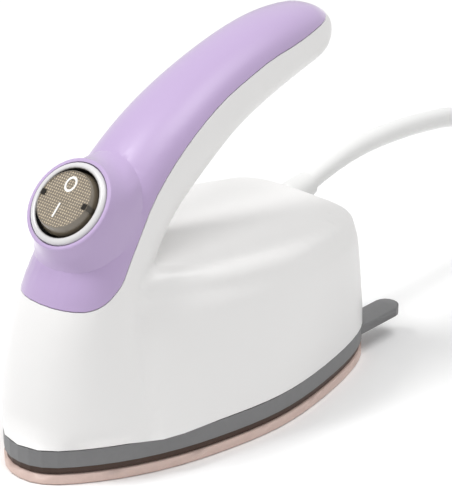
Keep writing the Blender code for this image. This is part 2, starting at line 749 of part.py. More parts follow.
def cutter_bore(name, tip, seat, mouth, matrix):
    """A screw hole along Z from its tip to the head's seat, and a wider recess from there to the mouth."""
    profile = (
        (0, tip), (HOLE_RADIUS, tip), (HOLE_RADIUS, seat), (SCREW_HEAD_RADIUS + FIT_GAP, seat),
        (SCREW_HEAD_RADIUS + FIT_GAP, mouth), (0, mouth),
    )
    points, faces = turned(profile, SMALL_SIDES)
    return add_mesh(name, placed(points, matrix), faces, cutter=True)


def cutter_box(name, low, high, matrix=None):
    points, faces = box_shape(low, high)
    return add_mesh(name, placed(points, matrix or Matrix()), faces, cutter=True)


def cover_screw_frames():
    """Placement of each cover screw: on the spine, Z out to the cover."""
    frames = []
    for share in COVER_SCREW_STATION_SHARES:
        centre, along, out, _, half_depth = station(share * SPINE_END)
        side = along.cross(out)
        turn = Matrix((side, along, out)).transposed().to_4x4()
        frames.append((Matrix.Translation(centre) @ turn, half_depth))
    return frames


def rear_wall_y(height):
    """Outer face of the rear wall at a height, measured from the nose."""
    share = (height - HOUSING_BOTTOM) / (BLOCK_REAR_HEIGHT - HOUSING_BOTTOM)
    return BODY_LENGTH - BLOCK_DRAFT * share


def cord_frame():
    """Placement of the lead's exit: on the rear wall's outer face, Z along the lead outwards."""
    y = rear_wall_y(CORD_EXIT_HEIGHT)
    return at(CORD_EXIT_X, y, CORD_EXIT_HEIGHT) @ Matrix.Rotation(CORD_TILT - math.pi / 2, 4, "X")


CORD = cord_frame()
REAR_SCREW_PLACE = at(0, rear_wall_y(REAR_FIXING_HEIGHT), REAR_FIXING_HEIGHT)
REAR_SCREW = REAR_SCREW_PLACE @ Matrix.Rotation(-math.pi / 2, 4, "X")
FRONT_SCREW = at(0, FRONT_FIXING_Y, 0)
REAR_UPSTAND_BACK = rear_wall_y(REAR_FIXING_HEIGHT) - REAR_UPSTAND_SETBACK
HOLE_RADIUS = SCREW_SHANK_RADIUS + SCREW_HOLE_CLEARANCE


def body_housing():
    housing = add_mesh("body_housing", *handle_shape(0, SPINE_RINGS, SECTION_POINTS), finish="white_plastic")
    block = add_mesh("housing_block", *block_shape(0, 4, OVERRUN), cutter=True)
    join(housing, block)
    hollow = handle_shape(WALL, SPINE_RINGS, SECTION_POINTS - 4)
    column_hollow = add_mesh("column_hollow", *hollow, cutter=True)
    block_hollow = add_mesh("block_hollow", *block_shape(WALL, 2, 2 * OVERRUN), cutter=True)
    floor = cutter_box(
        "housing_floor",
        (-FAR, NOSE_Y - OVERRUN, -OVERRUN),
        (FAR, REAR_Y + OVERRUN, HOUSING_BOTTOM),
    )
    cut(housing, column_hollow, block_hollow, cover_zone("seam_zone", 0), floor)
    add_front_boss(housing)
    add_rear_boss(housing)
    add_clamp_posts(housing)
    add_cover_screw_holes(housing)
    flange = RELIEF_FLANGE_RADIUS + FIT_GAP
    cut(
        housing,
        cutter_disc("relief_hole", RELIEF_NECK_RADIUS + FIT_GAP, -FAR / 4, FAR / 4, CORD),
        cutter_disc("relief_outer_seat", RELIEF_COLLAR_RADIUS + FIT_GAP, 0, 2 * OVERRUN, CORD),
        cutter_disc("relief_inner_seat", flange, -FAR / 4, FIT_GAP - RELIEF_SEAT, CORD),
    )


def add_front_boss(housing):
    """Boss for the front housing screw, tied to the nose by a rib."""
    bottom = FRONT_UPSTAND_TOP + FIT_GAP
    boss = cutter_disc("front_boss", BOSS_RADIUS, bottom, FRONT_BOSS_TOP, FRONT_SCREW)
    side = (
        (RIB_FRONT, bottom), (FRONT_FIXING_Y, bottom), (FRONT_FIXING_Y, FRONT_BOSS_TOP),
        (RIB_FRONT + RIB_SLANT, FRONT_BOSS_TOP),
    )
    rings = [[(x, NOSE_Y + y, z) for y, z in side] for x in (-RIB_THICKNESS / 2, RIB_THICKNESS / 2)]
    rib = add_mesh("front_rib", *loft(rings), cutter=True)
    join(housing, boss, rib)
    cut(housing, cutter_disc("front_boss_hole", HOLE_RADIUS, 0, HANDLE_HEIGHT / 2, FRONT_SCREW))


def add_rear_boss(housing):
    """Boss inside the rear wall for the rear housing screw, with a recess for its head."""
    boss = cutter_disc("rear_boss", BOSS_RADIUS, -REAR_UPSTAND_SETBACK + FIT_GAP, -WALL / 2, REAR_SCREW)
    join(housing, boss)
    seat = -SCREW_HEAD_HEIGHT - FIT_GAP
    cut(housing, cutter_bore("rear_boss_bore", -FAR / 4, seat, 2 * OVERRUN, REAR_SCREW))


def clamp_post_places():
    return [(x, -CLAMP_SETBACK) for x in (-CLAMP_SCREW_X, CLAMP_SCREW_X)]


def add_clamp_posts(housing):
    """Two posts and a pad hanging from the block's top, square to the lead, for the cord clamp."""
    ceiling = block_top(rear_wall_y(CORD_EXIT_HEIGHT) - CLAMP_SETBACK) - CORD_EXIT_HEIGHT
    top = ceiling + CLAMP_SETBACK * math.tan(CORD_TILT) - WALL / 2
    for n, (x, back) in enumerate(clamp_post_places()):
        frame = CORD @ Matrix.Translation((x, 0, back)) @ Matrix.Rotation(math.pi / 2, 4, "X")
        post = cutter_disc(f"clamp_post_{n}", POST_RADIUS, -CORD_RADIUS, top, frame, SMALL_SIDES)
        join(housing, post)
        hole = cutter_disc(f"clamp_post_hole_{n}", HOLE_RADIUS, -FAR / 4, SCREW_BITE, frame, SMALL_SIDES)
        cut(housing, hole)
    pad = cutter_box(
        "clamp_pad",
        (-CORD_RADIUS, -top, -CLAMP_SETBACK - CLAMP_DEPTH / 2),
        (CORD_RADIUS, -CORD_RADIUS - FIT_GAP, -CLAMP_SETBACK + CLAMP_DEPTH / 2),
        CORD,
    )
    join(housing, pad)


def add_cover_screw_holes(housing):
    for n, (frame, half_depth) in enumerate(cover_screw_frames()):
        seat = -half_depth + WALL / 2
        cut(housing, cutter_bore(f"cover_screw_bore_{n}", 0, seat, -half_depth - OVERRUN, frame))


def handle_cover():
    cover = add_mesh("handle_cover", *handle_shape(0, SPINE_RINGS, SECTION_POINTS), finish="lavender_plastic")
    boss = add_mesh("cover_boss", *boss_shape(), cutter=True)
    hollow = add_mesh("cover_hollow", *handle_shape(WALL, SPINE_RINGS, SECTION_POINTS - 4), cutter=True)
    join(cover, boss)
    combine(cover, cover_zone("cover_zone", FIT_GAP), "INTERSECT")
    cut(cover, hollow)
    seat = cutter_disc(
        "bezel_seat", BEZEL_RADIUS + SWITCH_HOLE_CLEARANCE, -BEZEL_SEAT_DEPTH, OVERRUN, SWITCH, BOSS_SIDES
    )
    bore = cutter_disc(
        "switch_bore", SWITCH_BODY_RADIUS + SWITCH_HOLE_CLEARANCE, -BOSS_REACH, OVERRUN, SWITCH, BOSS_SIDES
    )
    cut(cover, seat, bore)
    for n, (frame, half_depth) in enumerate(cover_screw_frames()):
        inner = half_depth - WALL - FIT_GAP
        post = cutter_disc(
            f"cover_post_{n}", COVER_POST_RADIUS, -inner, half_depth - WALL / 2, frame, SMALL_SIDES
        )
        root = half_depth * COVER_POST_ROOT_SHARE - WALL
        hole = cutter_disc(f"cover_post_hole_{n}", HOLE_RADIUS, -half_depth, root, frame, SMALL_SIDES)
        join(cover, post)
        cut(cover, hole)


def ring_shape(outer_inset, inner_inset, bottom, top):
    """A closed band that follows the plan outline."""
    rings = [
        outline_ring(outer_inset, bottom),
        outline_ring(outer_inset, top),
        outline_ring(inner_inset, top),
        outline_ring(inner_inset, bottom),
    ]
    count = len(rings[0])
    points = [p for ring in rings for p in ring]
    faces = []
    for i in range(len(rings)):
        k = (i + 1) % len(rings)
        for j in range(count):
            n = (j + 1) % count
            faces.append([i * count + j, i * count + n, k * count + n, k * count + j])
    return points, faces


def half_width(y, inset):
    """Half width, at a distance from the nose, of the plan outline drawn in by the inset."""
    ring = np.array(outline_ring(inset, 0))[:, :2]
    return reach_of(ring, NOSE_Y + y, (1, 0))


def plate_screw_places():
    return [(x, y) for y in (PLATE_SCREW_FRONT, PLATE_SCREW_REAR) for x in (-PLATE_SCREW_X, PLATE_SCREW_X)]


def press_screw_places():
    return [(0, PRESS_PLATE_CENTRE + side * PRESS_SCREW_SPACING / 2) for side in (-1, 1)]


def element_path(top):
    """Half-height route of the element: up one leg, round the front bend and up the other."""
    points = []
    bend = 4
    for side in (1, -1):
        leg = []
        leg.append((side * ELEMENT_LEG_X, ELEMENT_REAR + ELEMENT_BEND, top))
        for i in range(bend + 1):
            turn = math.pi / 2 * i / bend
            leg.append(
                (
                    side * ELEMENT_LEG_X,
                    ELEMENT_REAR + ELEMENT_BEND * math.cos(turn),
                    ELEMENT_HEIGHT + ELEMENT_BEND * (1 - math.sin(turn)),
                )
            )
        points.append(leg)
    arc = []
    steps = 10
    for i in range(steps + 1):
        turn = math.pi * i / steps
        arc.append(
            (
                ELEMENT_LEG_X * math.cos(turn),
                ELEMENT_FRONT + ELEMENT_LEG_X - ELEMENT_LEG_X * math.sin(turn),
                ELEMENT_HEIGHT,
            )
        )
    return points[0] + arc + points[1][::-1]


def tube(name, points, radius, finish, setting=1, from_nose=True):
    """A round tube along points, as a curve with filled ends."""
    curve = bpy.data.curves.new(name, "CURVE")
    curve.dimensions = "3D"
    curve.bevel_depth = radius
    curve.bevel_resolution = setting
    curve.use_fill_caps = True
    line = curve.splines.new("POLY")
    line.points.add(len(points) - 1)
    shift = NOSE_Y if from_nose else 0
    for spot, (x, y, z) in zip(line.points, points):
        spot.co = (x, y + shift, z, 1)
    obj = bpy.data.objects.new(name, curve)
    bpy.context.scene.collection.objects.link(obj)
    if finish:
        curve.materials.append(material(finish, *MATERIALS[finish]))
    return obj


def tube_cutter(name, points, radius):
    """The same tube as a mesh, for cutting a groove."""
    guide = tube(name + "_guide", points, radius, None, 2)
    bpy.context.view_layer.update()
    mesh = bpy.data.meshes.new_from_object(guide)
    bpy.data.objects.remove(guide)
    made = bmesh.new()
    made.from_mesh(mesh)
    bmesh.ops.remove_doubles(made, verts=made.verts, dist=FIT_GAP / 10)
    bmesh.ops.recalc_face_normals(made, faces=made.faces)
    made.to_mesh(mesh)
    made.free()
    obj = bpy.data.objects.new(name, mesh)
    bpy.context.scene.collection.objects.link(obj)
    obj.hide_render = True
    obj.display_type = "WIRE"
    return obj


def heat_plate():
    """Coated plate with a raised platform, posts for screws and the element's groove."""
    rings = [
        outline_ring(PLATE_INSET + PLATE_EDGE, 0),
        outline_ring(PLATE_INSET, PLATE_EDGE),
        outline_ring(PLATE_INSET, PLATE_THICKNESS),
    ]
    plate = add_mesh("heat_plate", *loft(rings), finish="rose_coating")
    inner = PLATFORM_INSET
    platform = add_mesh(
        "platform",
        *loft([outline_ring(inner, PLATE_THICKNESS / 2), outline_ring(inner, PLATFORM_HEIGHT)]),
        cutter=True,
    )
    join(plate, platform)
    post_top = BAND_TOP - LUG_THICKNESS - 2 * FIT_GAP
    places = [(x, y, post_top) for x, y in plate_screw_places()]
    places += [(x, y, PRESS_PLATE_BOTTOM - FIT_GAP) for x, y in press_screw_places()]
    for n, (x, y, top) in enumerate(places):
        spot = at(x, y, 0)
        join(plate, cutter_disc(f"plate_post_{n}", POST_RADIUS, PLATE_THICKNESS, top, spot, SMALL_SIDES))
    cut(plate, tube_cutter("element_groove", element_path(ELEMENT_TOP), ELEMENT_RADIUS + FIT_GAP))
    floor = PLATE_THICKNESS + FIT_GAP
    ceiling = 2 * PLATFORM_HEIGHT
    for n, (x, y, _) in enumerate(places):
        cut(plate, cutter_disc(f"plate_hole_{n}", HOLE_RADIUS, floor, ceiling, at(x, y, 0), SMALL_SIDES))
    cut(plate, cutter_disc("earth_hole", HOLE_RADIUS, floor, ceiling, at(*earth_place(), 0), SMALL_SIDES))


def earth_place():
    return (0, ELEMENT_REAR + ELEMENT_BEND)


def sole_gasket():
    top = GASKET_BOTTOM + GASKET_THICKNESS
    shape = ring_shape(GASKET_INSET, GASKET_INSET + GASKET_WIDTH, GASKET_BOTTOM, top)
    add_mesh("sole_gasket", *shape, finish="brown_rubber")


def base_band():
    """Grey ring with heel prongs, screw lugs and the two upstands that the housing is screwed to."""
    band = add_mesh(
        "base_band",
        *ring_shape(BAND_INSET, BAND_INSET + BAND_WIDTH, BAND_BOTTOM, BAND_TOP),
        finish="grey_plastic",
    )
    for n, (x, y) in enumerate(plate_screw_places()):
        side = math.copysign(1, x)
        reach = half_width(y, BAND_INSET + BAND_WIDTH / 2)
        low, high = sorted((x - side * POST_RADIUS, side * reach))
        bottom = BAND_TOP - FIT_GAP - LUG_THICKNESS
        lug = cutter_box(
            f"lug_{n}",
            (low, y - LUG_WIDTH / 2, bottom),
            (high, y + LUG_WIDTH / 2, BAND_TOP - FIT_GAP),
            at(0, 0, 0),
        )
        join(band, lug)
        cut(band, cutter_disc(f"lug_hole_{n}", HOLE_RADIUS, 0, 2 * BAND_TOP, at(x, y, 0), SMALL_SIDES))
    for n, side in enumerate((-1, 1)):
        join(band, prong(f"prong_{n}", side))
    add_upstands(band)


def prong(name, side):
    """A flat bar with a round end that reaches out behind the body."""
    radius = PRONG_WIDTH / 2
    tip = BODY_LENGTH + HEEL_REACH - radius
    root = BODY_LENGTH - PRONG_ROOT
    rings = []
    for z in (PRONG_BOTTOM, PRONG_TOP):
        ring = [(radius, root, z)]
        for i in range(9):
            turn = math.pi * i / 8
            ring.append((radius * math.cos(turn), tip + radius * math.sin(turn), z))
        ring.append((-radius, root, z))
        rings.append(ring)
    points, faces = loft(rings)
    return add_mesh(name, placed(points, at(side * PRONG_CENTRE_X, 0, 0)), faces, cutter=True)


def add_upstands(band):
    """A round upstand at the nose and a flat one at the rear, each on a foot that starts in the band."""
    foot_top = BAND_TOP - FIT_GAP
    front = cutter_disc("front_upstand", BOSS_RADIUS, UPSTAND_BOTTOM, FRONT_UPSTAND_TOP, FRONT_SCREW)
    front_foot = cutter_box(
        "front_foot",
        (-BOSS_RADIUS / 2, BAND_WIDTH / 2, UPSTAND_BOTTOM + FIT_GAP),
        (BOSS_RADIUS / 2, FRONT_FIXING_Y, foot_top),
        at(0, 0, 0),
    )
    back = REAR_UPSTAND_BACK
    front_face = back - REAR_UPSTAND_DEPTH
    side = (
        (front_face, UPSTAND_BOTTOM), (BODY_LENGTH - BAND_WIDTH / 2, UPSTAND_BOTTOM),
        (BODY_LENGTH - BAND_WIDTH / 2, foot_top), (back, foot_top), (back, REAR_UPSTAND_TOP),
        (front_face, REAR_UPSTAND_TOP),
    )
    half = REAR_UPSTAND_WIDTH / 2
    rings = [[(x, NOSE_Y + y, z) for y, z in side] for x in (-half, half)]
    rear = add_mesh("rear_upstand", *loft(rings), cutter=True)
    join(band, front, front_foot, rear)
    start = UPSTAND_BOTTOM + FIT_GAP
    cut(
        band,
        cutter_disc("front_upstand_hole", HOLE_RADIUS, start, HANDLE_HEIGHT / 2, FRONT_SCREW),
        cutter_disc("rear_upstand_hole", HOLE_RADIUS, -FAR / 2, 0, REAR_SCREW),
    )


def heating_element():
    tube("heating_element", element_path(ELEMENT_TOP), ELEMENT_RADIUS, "steel", 2)
    for name, side in (("element_pin_left", -1), ("element_pin_right", 1)):
        frame = at(side * ELEMENT_LEG_X, ELEMENT_REAR + ELEMENT_BEND, ELEMENT_TOP + FIT_GAP)
        points, faces = disc(ELEMENT_PIN_RADIUS, 0, ELEMENT_PIN_LENGTH)
        add_mesh(name, placed(points, frame), faces, finish="steel")


def press_plate():
    points, faces = slab(
        PRESS_PLATE_WIDTH, PRESS_PLATE_LENGTH, POST_RADIUS, PRESS_PLATE_BOTTOM, PRESS_PLATE_TOP
    )
    plate = add_mesh("press_plate", placed(points, at(0, PRESS_PLATE_CENTRE, 0)), faces, finish="steel")
    for n, (x, y) in enumerate(press_screw_places()):
        cut(plate, cutter_disc(f"press_hole_{n}", HOLE_RADIUS, 0, FAR, at(x, y, 0), SMALL_SIDES))


def thermostat():
    bottom = PRESS_PLATE_TOP + FIT_GAP
    flange = bottom + THERMOSTAT_FLANGE_HEIGHT
    top = bottom + THERMOSTAT_HEIGHT
    profile = (
        (0, bottom), (THERMOSTAT_FLANGE_RADIUS, bottom), (THERMOSTAT_FLANGE_RADIUS, flange),
        (THERMOSTAT_RADIUS, flange), (THERMOSTAT_RADIUS, top), (0, top),
    )
    points, faces = turned(profile, ROUND_SIDES)
    add_mesh("thermostat", placed(points, at(0, PRESS_PLATE_CENTRE, 0)), faces, finish="black_plastic")
    for name, side in (("thermostat_tab_front", -1), ("thermostat_tab_rear", 1)):
        y = PRESS_PLATE_CENTRE + side * THERMOSTAT_RADIUS / 2
        low = (-THERMOSTAT_TAB_WIDTH / 2, y - THERMOSTAT_TAB_THICKNESS / 2, top + FIT_GAP)
        high = (THERMOSTAT_TAB_WIDTH / 2, y + THERMOSTAT_TAB_THICKNESS / 2, top + THERMOSTAT_TAB_REACH)
        points, faces = box_shape(low, high)
        add_mesh(name, placed(points, at(0, 0, 0)), faces, finish="brass")


def insulation_pad():
    points, faces = slab(
        PRESS_PLATE_WIDTH, PRESS_PLATE_LENGTH, POST_RADIUS, PAD_BOTTOM, PAD_BOTTOM + PAD_THICKNESS
    )
    spot = at(0, PRESS_PLATE_CENTRE, 0)
    pad = add_mesh("insulation_pad", placed(points, spot), faces, finish="glass_fibre")
    cut(pad, thermostat_slot("pad_slot"))


def thermostat_slot(name):
    points, faces = slab(SLOT_WIDTH, SLOT_LENGTH, SLOT_WIDTH / 3, 0, FAR)
    return add_mesh(name, placed(points, at(0, PRESS_PLATE_CENTRE, 0)), faces, cutter=True)


def heat_shield():
    """Thin tray upside down over the heater, standing on the band."""
    shield = add_mesh(
        "heat_shield",
        *loft([outline_ring(SHIELD_INSET, z, SHIELD_NOSE) for z in (SHIELD_BOTTOM, SHIELD_TOP)]),
        finish="aluminium",
    )
    inside = SHIELD_INSET + SHIELD_THICKNESS
    hollow = add_mesh(
        "shield_hollow",
        *loft([outline_ring(inside, z, SHIELD_NOSE) for z in (0, SHIELD_TOP - SHIELD_THICKNESS)]),
        cutter=True,
    )
    points, faces = slab(LEG_SLOT_WIDTH, LEG_SLOT_LENGTH, POST_RADIUS, 0, FAR)
    leg_slot = add_mesh(
        "leg_slot", placed(points, at(0, ELEMENT_REAR + ELEMENT_BEND, 0)), faces, cutter=True
    )
    half = REAR_UPSTAND_WIDTH / 2 + 2 * FIT_GAP
    rear = cutter_box(
        "shield_rear_hole",
        (-half, REAR_UPSTAND_BACK - REAR_UPSTAND_DEPTH - 2 * FIT_GAP, 0),
        (half, REAR_UPSTAND_BACK + 2 * FIT_GAP, FAR),
        at(0, 0, 0),
    )
    cut(shield, hollow, thermostat_slot("shield_slot"), leg_slot, rear)


def thermal_fuse():
    """Fuse in its sleeve, lying on the shield, held by a clip."""
    height = SHIELD_TOP + FIT_GAP + FUSE_RADIUS
    points, faces = disc(FUSE_RADIUS, -FUSE_LENGTH / 2, FUSE_LENGTH / 2)
    frame = at(FUSE_X, FUSE_Y, height) @ Matrix.Rotation(math.pi / 2, 4, "X")
    add_mesh("thermal_fuse", placed(points, frame), faces, finish="ceramic")
    inner = FUSE_RADIUS + FIT_GAP
    outer = inner + CLIP_THICKNESS
    steps = 6
    side = [(outer + CLIP_FOOT, 0), (outer + CLIP_FOOT, CLIP_THICKNESS), (outer, CLIP_THICKNESS)]
    side += [
        (outer * math.cos(math.pi * i / steps), inner + outer * math.sin(math.pi * i / steps))
        for i in range(steps + 1)
    ]
    side += [(-outer, 0), (-inner, 0)]
    side += [
        (-inner * math.cos(math.pi * i / steps), inner + inner * math.sin(math.pi * i / steps))
        for i in range(steps + 1)
    ]
    side += [(inner, 0)]
    rings = [[(x, y, z) for x, z in side] for y in (-CLIP_WIDTH / 2, CLIP_WIDTH / 2)]
    points, faces = loft(rings)
    add_mesh(
        "fuse_clip", placed(points, at(FUSE_X, FUSE_Y, SHIELD_TOP + FIT_GAP)), faces, finish="steel"
    )


def screw(name, frame, grip, bite):
    """Pan-head screw: the head stands on Z = 0 of the frame, and the shank runs down through the grip."""
    tip = -(grip + bite)
    profile = (
        (0, tip), (SCREW_SHANK_RADIUS / 2, tip), (SCREW_SHANK_RADIUS, tip + SCREW_SHANK_RADIUS),
        (SCREW_SHANK_RADIUS, 0), (SCREW_HEAD_RADIUS, 0), (SCREW_HEAD_RADIUS, SCREW_HEAD_HEIGHT / 2),
        (SCREW_HEAD_RADIUS / 2, SCREW_HEAD_HEIGHT), (0, SCREW_HEAD_HEIGHT),
    )
    points, faces = turned(profile, SMALL_SIDES)
    add_mesh(name, placed(points, frame), faces, finish="steel")


def screws():
    for n, (x, y) in enumerate(plate_screw_places()):
        screw(f"plate_screw_{n + 1}", at(x, y, BAND_TOP + FIT_GAP), LUG_THICKNESS + FIT_GAP, SCREW_BITE)
    grip = PRESS_PLATE_THICKNESS + FIT_GAP
    for n, (x, y) in enumerate(press_screw_places()):
        screw(f"press_screw_{n + 1}", at(x, y, PRESS_PLATE_TOP + FIT_GAP), grip, SCREW_BITE)
    grip = FRONT_BOSS_TOP - FRONT_UPSTAND_TOP + FIT_GAP
    head = Matrix.Translation((0, 0, FRONT_BOSS_TOP + FIT_GAP))
    screw("housing_screw_front", FRONT_SCREW @ head, grip, SCREW_BITE)
    seat = -SCREW_HEAD_HEIGHT
    grip = REAR_UPSTAND_SETBACK + seat
    screw("housing_screw_rear", REAR_SCREW @ Matrix.Translation((0, 0, seat)), grip, SCREW_BITE)
    for n, (frame, half_depth) in enumerate(cover_screw_frames()):
        turn = Matrix.Rotation(math.pi, 4, "X")
        depth = half_depth - WALL / 2 + FIT_GAP
        screw(f"cover_screw_{n + 1}", frame @ Matrix.Translation((0, 0, -depth)) @ turn, WALL / 2, SCREW_BITE)


def switch_body():
    """Bezel and body in one moulding, open at the front, with slots for the terminals."""
    inner_seat = BEZEL_SEAT_DEPTH - FIT_GAP
    floor = SWITCH_BODY_DEPTH - SWITCH_FLOOR
    width = BEZEL_RADIUS - BEZEL_OPENING_RADIUS
    dome = [(BEZEL_OPENING_RADIUS + share * width, rise * BEZEL_PROUD) for share, rise in BEZEL_TOP_SHARES]
    profile = (
        (0, -SWITCH_BODY_DEPTH), (SWITCH_BODY_RADIUS, -SWITCH_BODY_DEPTH), (SWITCH_BODY_RADIUS, -inner_seat),
        (BEZEL_RADIUS, -inner_seat), *dome, (BEZEL_OPENING_RADIUS, -inner_seat),
        (SWITCH_POCKET_RADIUS, -inner_seat - FIT_GAP), (SWITCH_POCKET_RADIUS, -floor), (0, -floor),
    )
    points, faces = turned(profile, BOSS_SIDES)
    body = add_mesh("switch_body", placed(points, SWITCH), faces, finish="bezel_plastic")
    pivot = SWITCH @ Matrix.Translation((0, 0, -ROCKER_PIVOT_DEPTH)) @ Matrix.Rotation(math.pi / 2, 4, "Y")
    reach = SWITCH_BODY_RADIUS + OVERRUN
    cut(body, cutter_disc("pivot_hole", ROCKER_PIN_RADIUS + PIN_CLEARANCE, -reach, reach, pivot, SMALL_SIDES))
    for n, (low, high) in enumerate(terminal_boxes(FIT_GAP / 2)):
        cut(body, cutter_box(f"terminal_slot_{n}", low, high, SWITCH))


def switch_rocker():
    """Rocker with its moulded pivots and plunger tube, shown off: its upper half pressed in."""
    top = ROCKER_RISE
    under = top - ROCKER_SKIN
    inner = ROCKER_SKIRT_RADIUS - ROCKER_SKIN
    tube_inner = PLUNGER_RADIUS + FIT_GAP / 2
    tube_outer = tube_inner + PLUNGER_TUBE_WALL
    profile = (
        (0, top), (ROCKER_FACE_RADIUS - ROCKER_FACE_EDGE, top), (ROCKER_FACE_RADIUS, top - ROCKER_FACE_EDGE),
        (ROCKER_RADIUS, ROCKER_PIVOT_DEPTH), (ROCKER_RADIUS, 0), (ROCKER_SKIRT_RADIUS, -ROCKER_SKIRT),
        (inner, -ROCKER_SKIRT), (inner, under), (tube_outer, under), (tube_outer, -ROCKER_SKIRT),
        (tube_inner, -ROCKER_SKIRT), (tube_inner, under), (0, under),
    )
    points, faces = turned(profile, BOSS_SIDES)
    frame = rocker_frame()
    rocker = add_mesh("switch_rocker", points, faces, finish="smoked_plastic")
    rocker.matrix_world = frame
    for n, side in enumerate((-1, 1)):
        low, high = sorted((side * (inner + FIT_GAP), side * ROCKER_PIN_REACH))
        turn = frame @ Matrix.Rotation(math.pi / 2, 4, "Y")
        join(rocker, cutter_disc(f"rocker_pin_{n}", ROCKER_PIN_RADIUS, low, high, turn, SMALL_SIDES))


def rocker_frame():
    """The rocker's hinge at rest: its off side is turned in by half the travel."""
    hinge = SWITCH @ Matrix.Translation((0, 0, -ROCKER_PIVOT_DEPTH))
    return hinge @ Matrix.Rotation(-ROCKER_TRAVEL / 2, 4, "X")


def switch_plunger():
    """Plunger and its spring inside the rocker's tube."""
    frame = rocker_frame()
    tip = -PLUNGER_TIP_DEPTH
    profile = (
        (0, tip), (PLUNGER_RADIUS / 2, tip + PLUNGER_RADIUS / 4), (PLUNGER_RADIUS, tip + PLUNGER_RADIUS),
        (PLUNGER_RADIUS, tip + PLUNGER_LENGTH), (0, tip + PLUNGER_LENGTH),
    )
    points, faces = turned(profile, SMALL_SIDES)
    add_mesh("switch_plunger", placed(points, frame), faces, finish="black_plastic")
    bottom = tip + PLUNGER_LENGTH + FIT_GAP + SPRING_WIRE_RADIUS
    top = ROCKER_RISE - ROCKER_SKIN - FIT_GAP - SPRING_WIRE_RADIUS
    steps = SPRING_TURNS * 8
    coil = []
    for i in range(steps + 1):
        turn = 2 * math.pi * i / 8
        level = bottom + (top - bottom) * i / steps
        coil.append(frame @ Vector((SPRING_RADIUS * math.cos(turn), SPRING_RADIUS * math.sin(turn), level)))
    tube("plunger_spring", coil, SPRING_WIRE_RADIUS, "steel", 0, from_nose=False)


def contact_height():
    """Level of the rocking contact's upper face, below the bezel's plane."""
    return -ROCKER_PIVOT_DEPTH - PLUNGER_TIP_DEPTH - FIT_GAP


def contact_frame():
    level = contact_height() - CONTACT_THICKNESS
    return SWITCH @ Matrix.Translation((0, 0, level)) @ Matrix.Rotation(CONTACT_TILT, 4, "X")


def rocking_contact():
    """Contact strip that rocks on the middle terminal's fork: tilted away from the live-out side when off."""
    low = (-CONTACT_WIDTH / 2, -CONTACT_LENGTH / 2, 0)
    high = (CONTACT_WIDTH / 2, CONTACT_LENGTH / 2, CONTACT_THICKNESS)
    points, faces = box_shape(low, high)
    contact = add_mesh("rocking_contact", points, faces, finish="brass")
    contact.matrix_world = contact_frame()


def terminal_centres():
    return (-TERMINAL_SPACING, 0, CONTACT_LENGTH / 2 - TERMINAL_THICKNESS)


def terminal_boxes(clearance):
    """The three terminals in the switch's frame: fixed contact, common and lamp, grown by a clearance."""
    half_width = TERMINAL_WIDTH / 2 + clearance
    half_thick = TERMINAL_THICKNESS / 2 + clearance
    bottom = -SWITCH_BODY_DEPTH - TERMINAL_REACH
    fulcrum = contact_height() - CONTACT_THICKNESS - FIT_GAP
    drop = terminal_centres()[2] * math.sin(CONTACT_TILT)
    shelf = -SWITCH_BODY_DEPTH + SWITCH_FLOOR + FIT_GAP
    tops = (shelf, fulcrum, fulcrum - drop)
    boxes = []
    for top, y in zip(tops, terminal_centres()):
        low = (-half_width, y - half_thick, bottom - clearance)
        high = (half_width, y + half_thick, top + clearance)
        boxes.append((low, high))
    return boxes


def switch_terminals():
    names = ("terminal_lamp", "terminal_live_in", "terminal_live_out")
    for name, (low, high) in zip(names, terminal_boxes(-FIT_GAP / 2)):
        points, faces = box_shape(low, high)
        add_mesh(name, placed(points, SWITCH), faces, finish="brass")


def neon_lamp():
    """Small lamp tube inside the rocker's hollow, beside the plunger tube."""
    points, faces = disc(LAMP_RADIUS, -LAMP_LENGTH / 2, LAMP_LENGTH / 2)
    level = ROCKER_RISE - ROCKER_SKIN - FIT_GAP - LAMP_RADIUS
    spot = rocker_frame() @ Matrix.Translation((LAMP_OFFSET, 0, level))
    frame = spot @ Matrix.Rotation(math.pi / 2, 4, "X")
    add_mesh("neon_lamp", placed(points, frame), faces, finish="glass")


def strain_relief():
    """Sleeve seated in the rear wall, round the lead."""
    bore = CORD_RADIUS + RELIEF_BORE_CLEARANCE
    inside = -RELIEF_SEAT - RELIEF_FLANGE_THICKNESS
    collar = FIT_GAP + RELIEF_COLLAR_THICKNESS
    inner_tip = inside - RELIEF_INSIDE
    outer_tip = collar + RELIEF_OUTSIDE
    profile = (
        (bore, inner_tip), (RELIEF_TIP_RADIUS, inner_tip), (RELIEF_NECK_RADIUS, inside),
        (RELIEF_FLANGE_RADIUS, inside), (RELIEF_FLANGE_RADIUS, -RELIEF_SEAT),
        (RELIEF_NECK_RADIUS, -RELIEF_SEAT), (RELIEF_NECK_RADIUS, FIT_GAP), (RELIEF_COLLAR_RADIUS, FIT_GAP),
        (RELIEF_COLLAR_RADIUS, collar), (RELIEF_TIP_RADIUS, outer_tip), (bore, outer_tip),
    )
    points, faces = turned(profile, ROUND_SIDES)
    add_mesh("strain_relief", placed(points, CORD), faces, finish="cord_plastic")


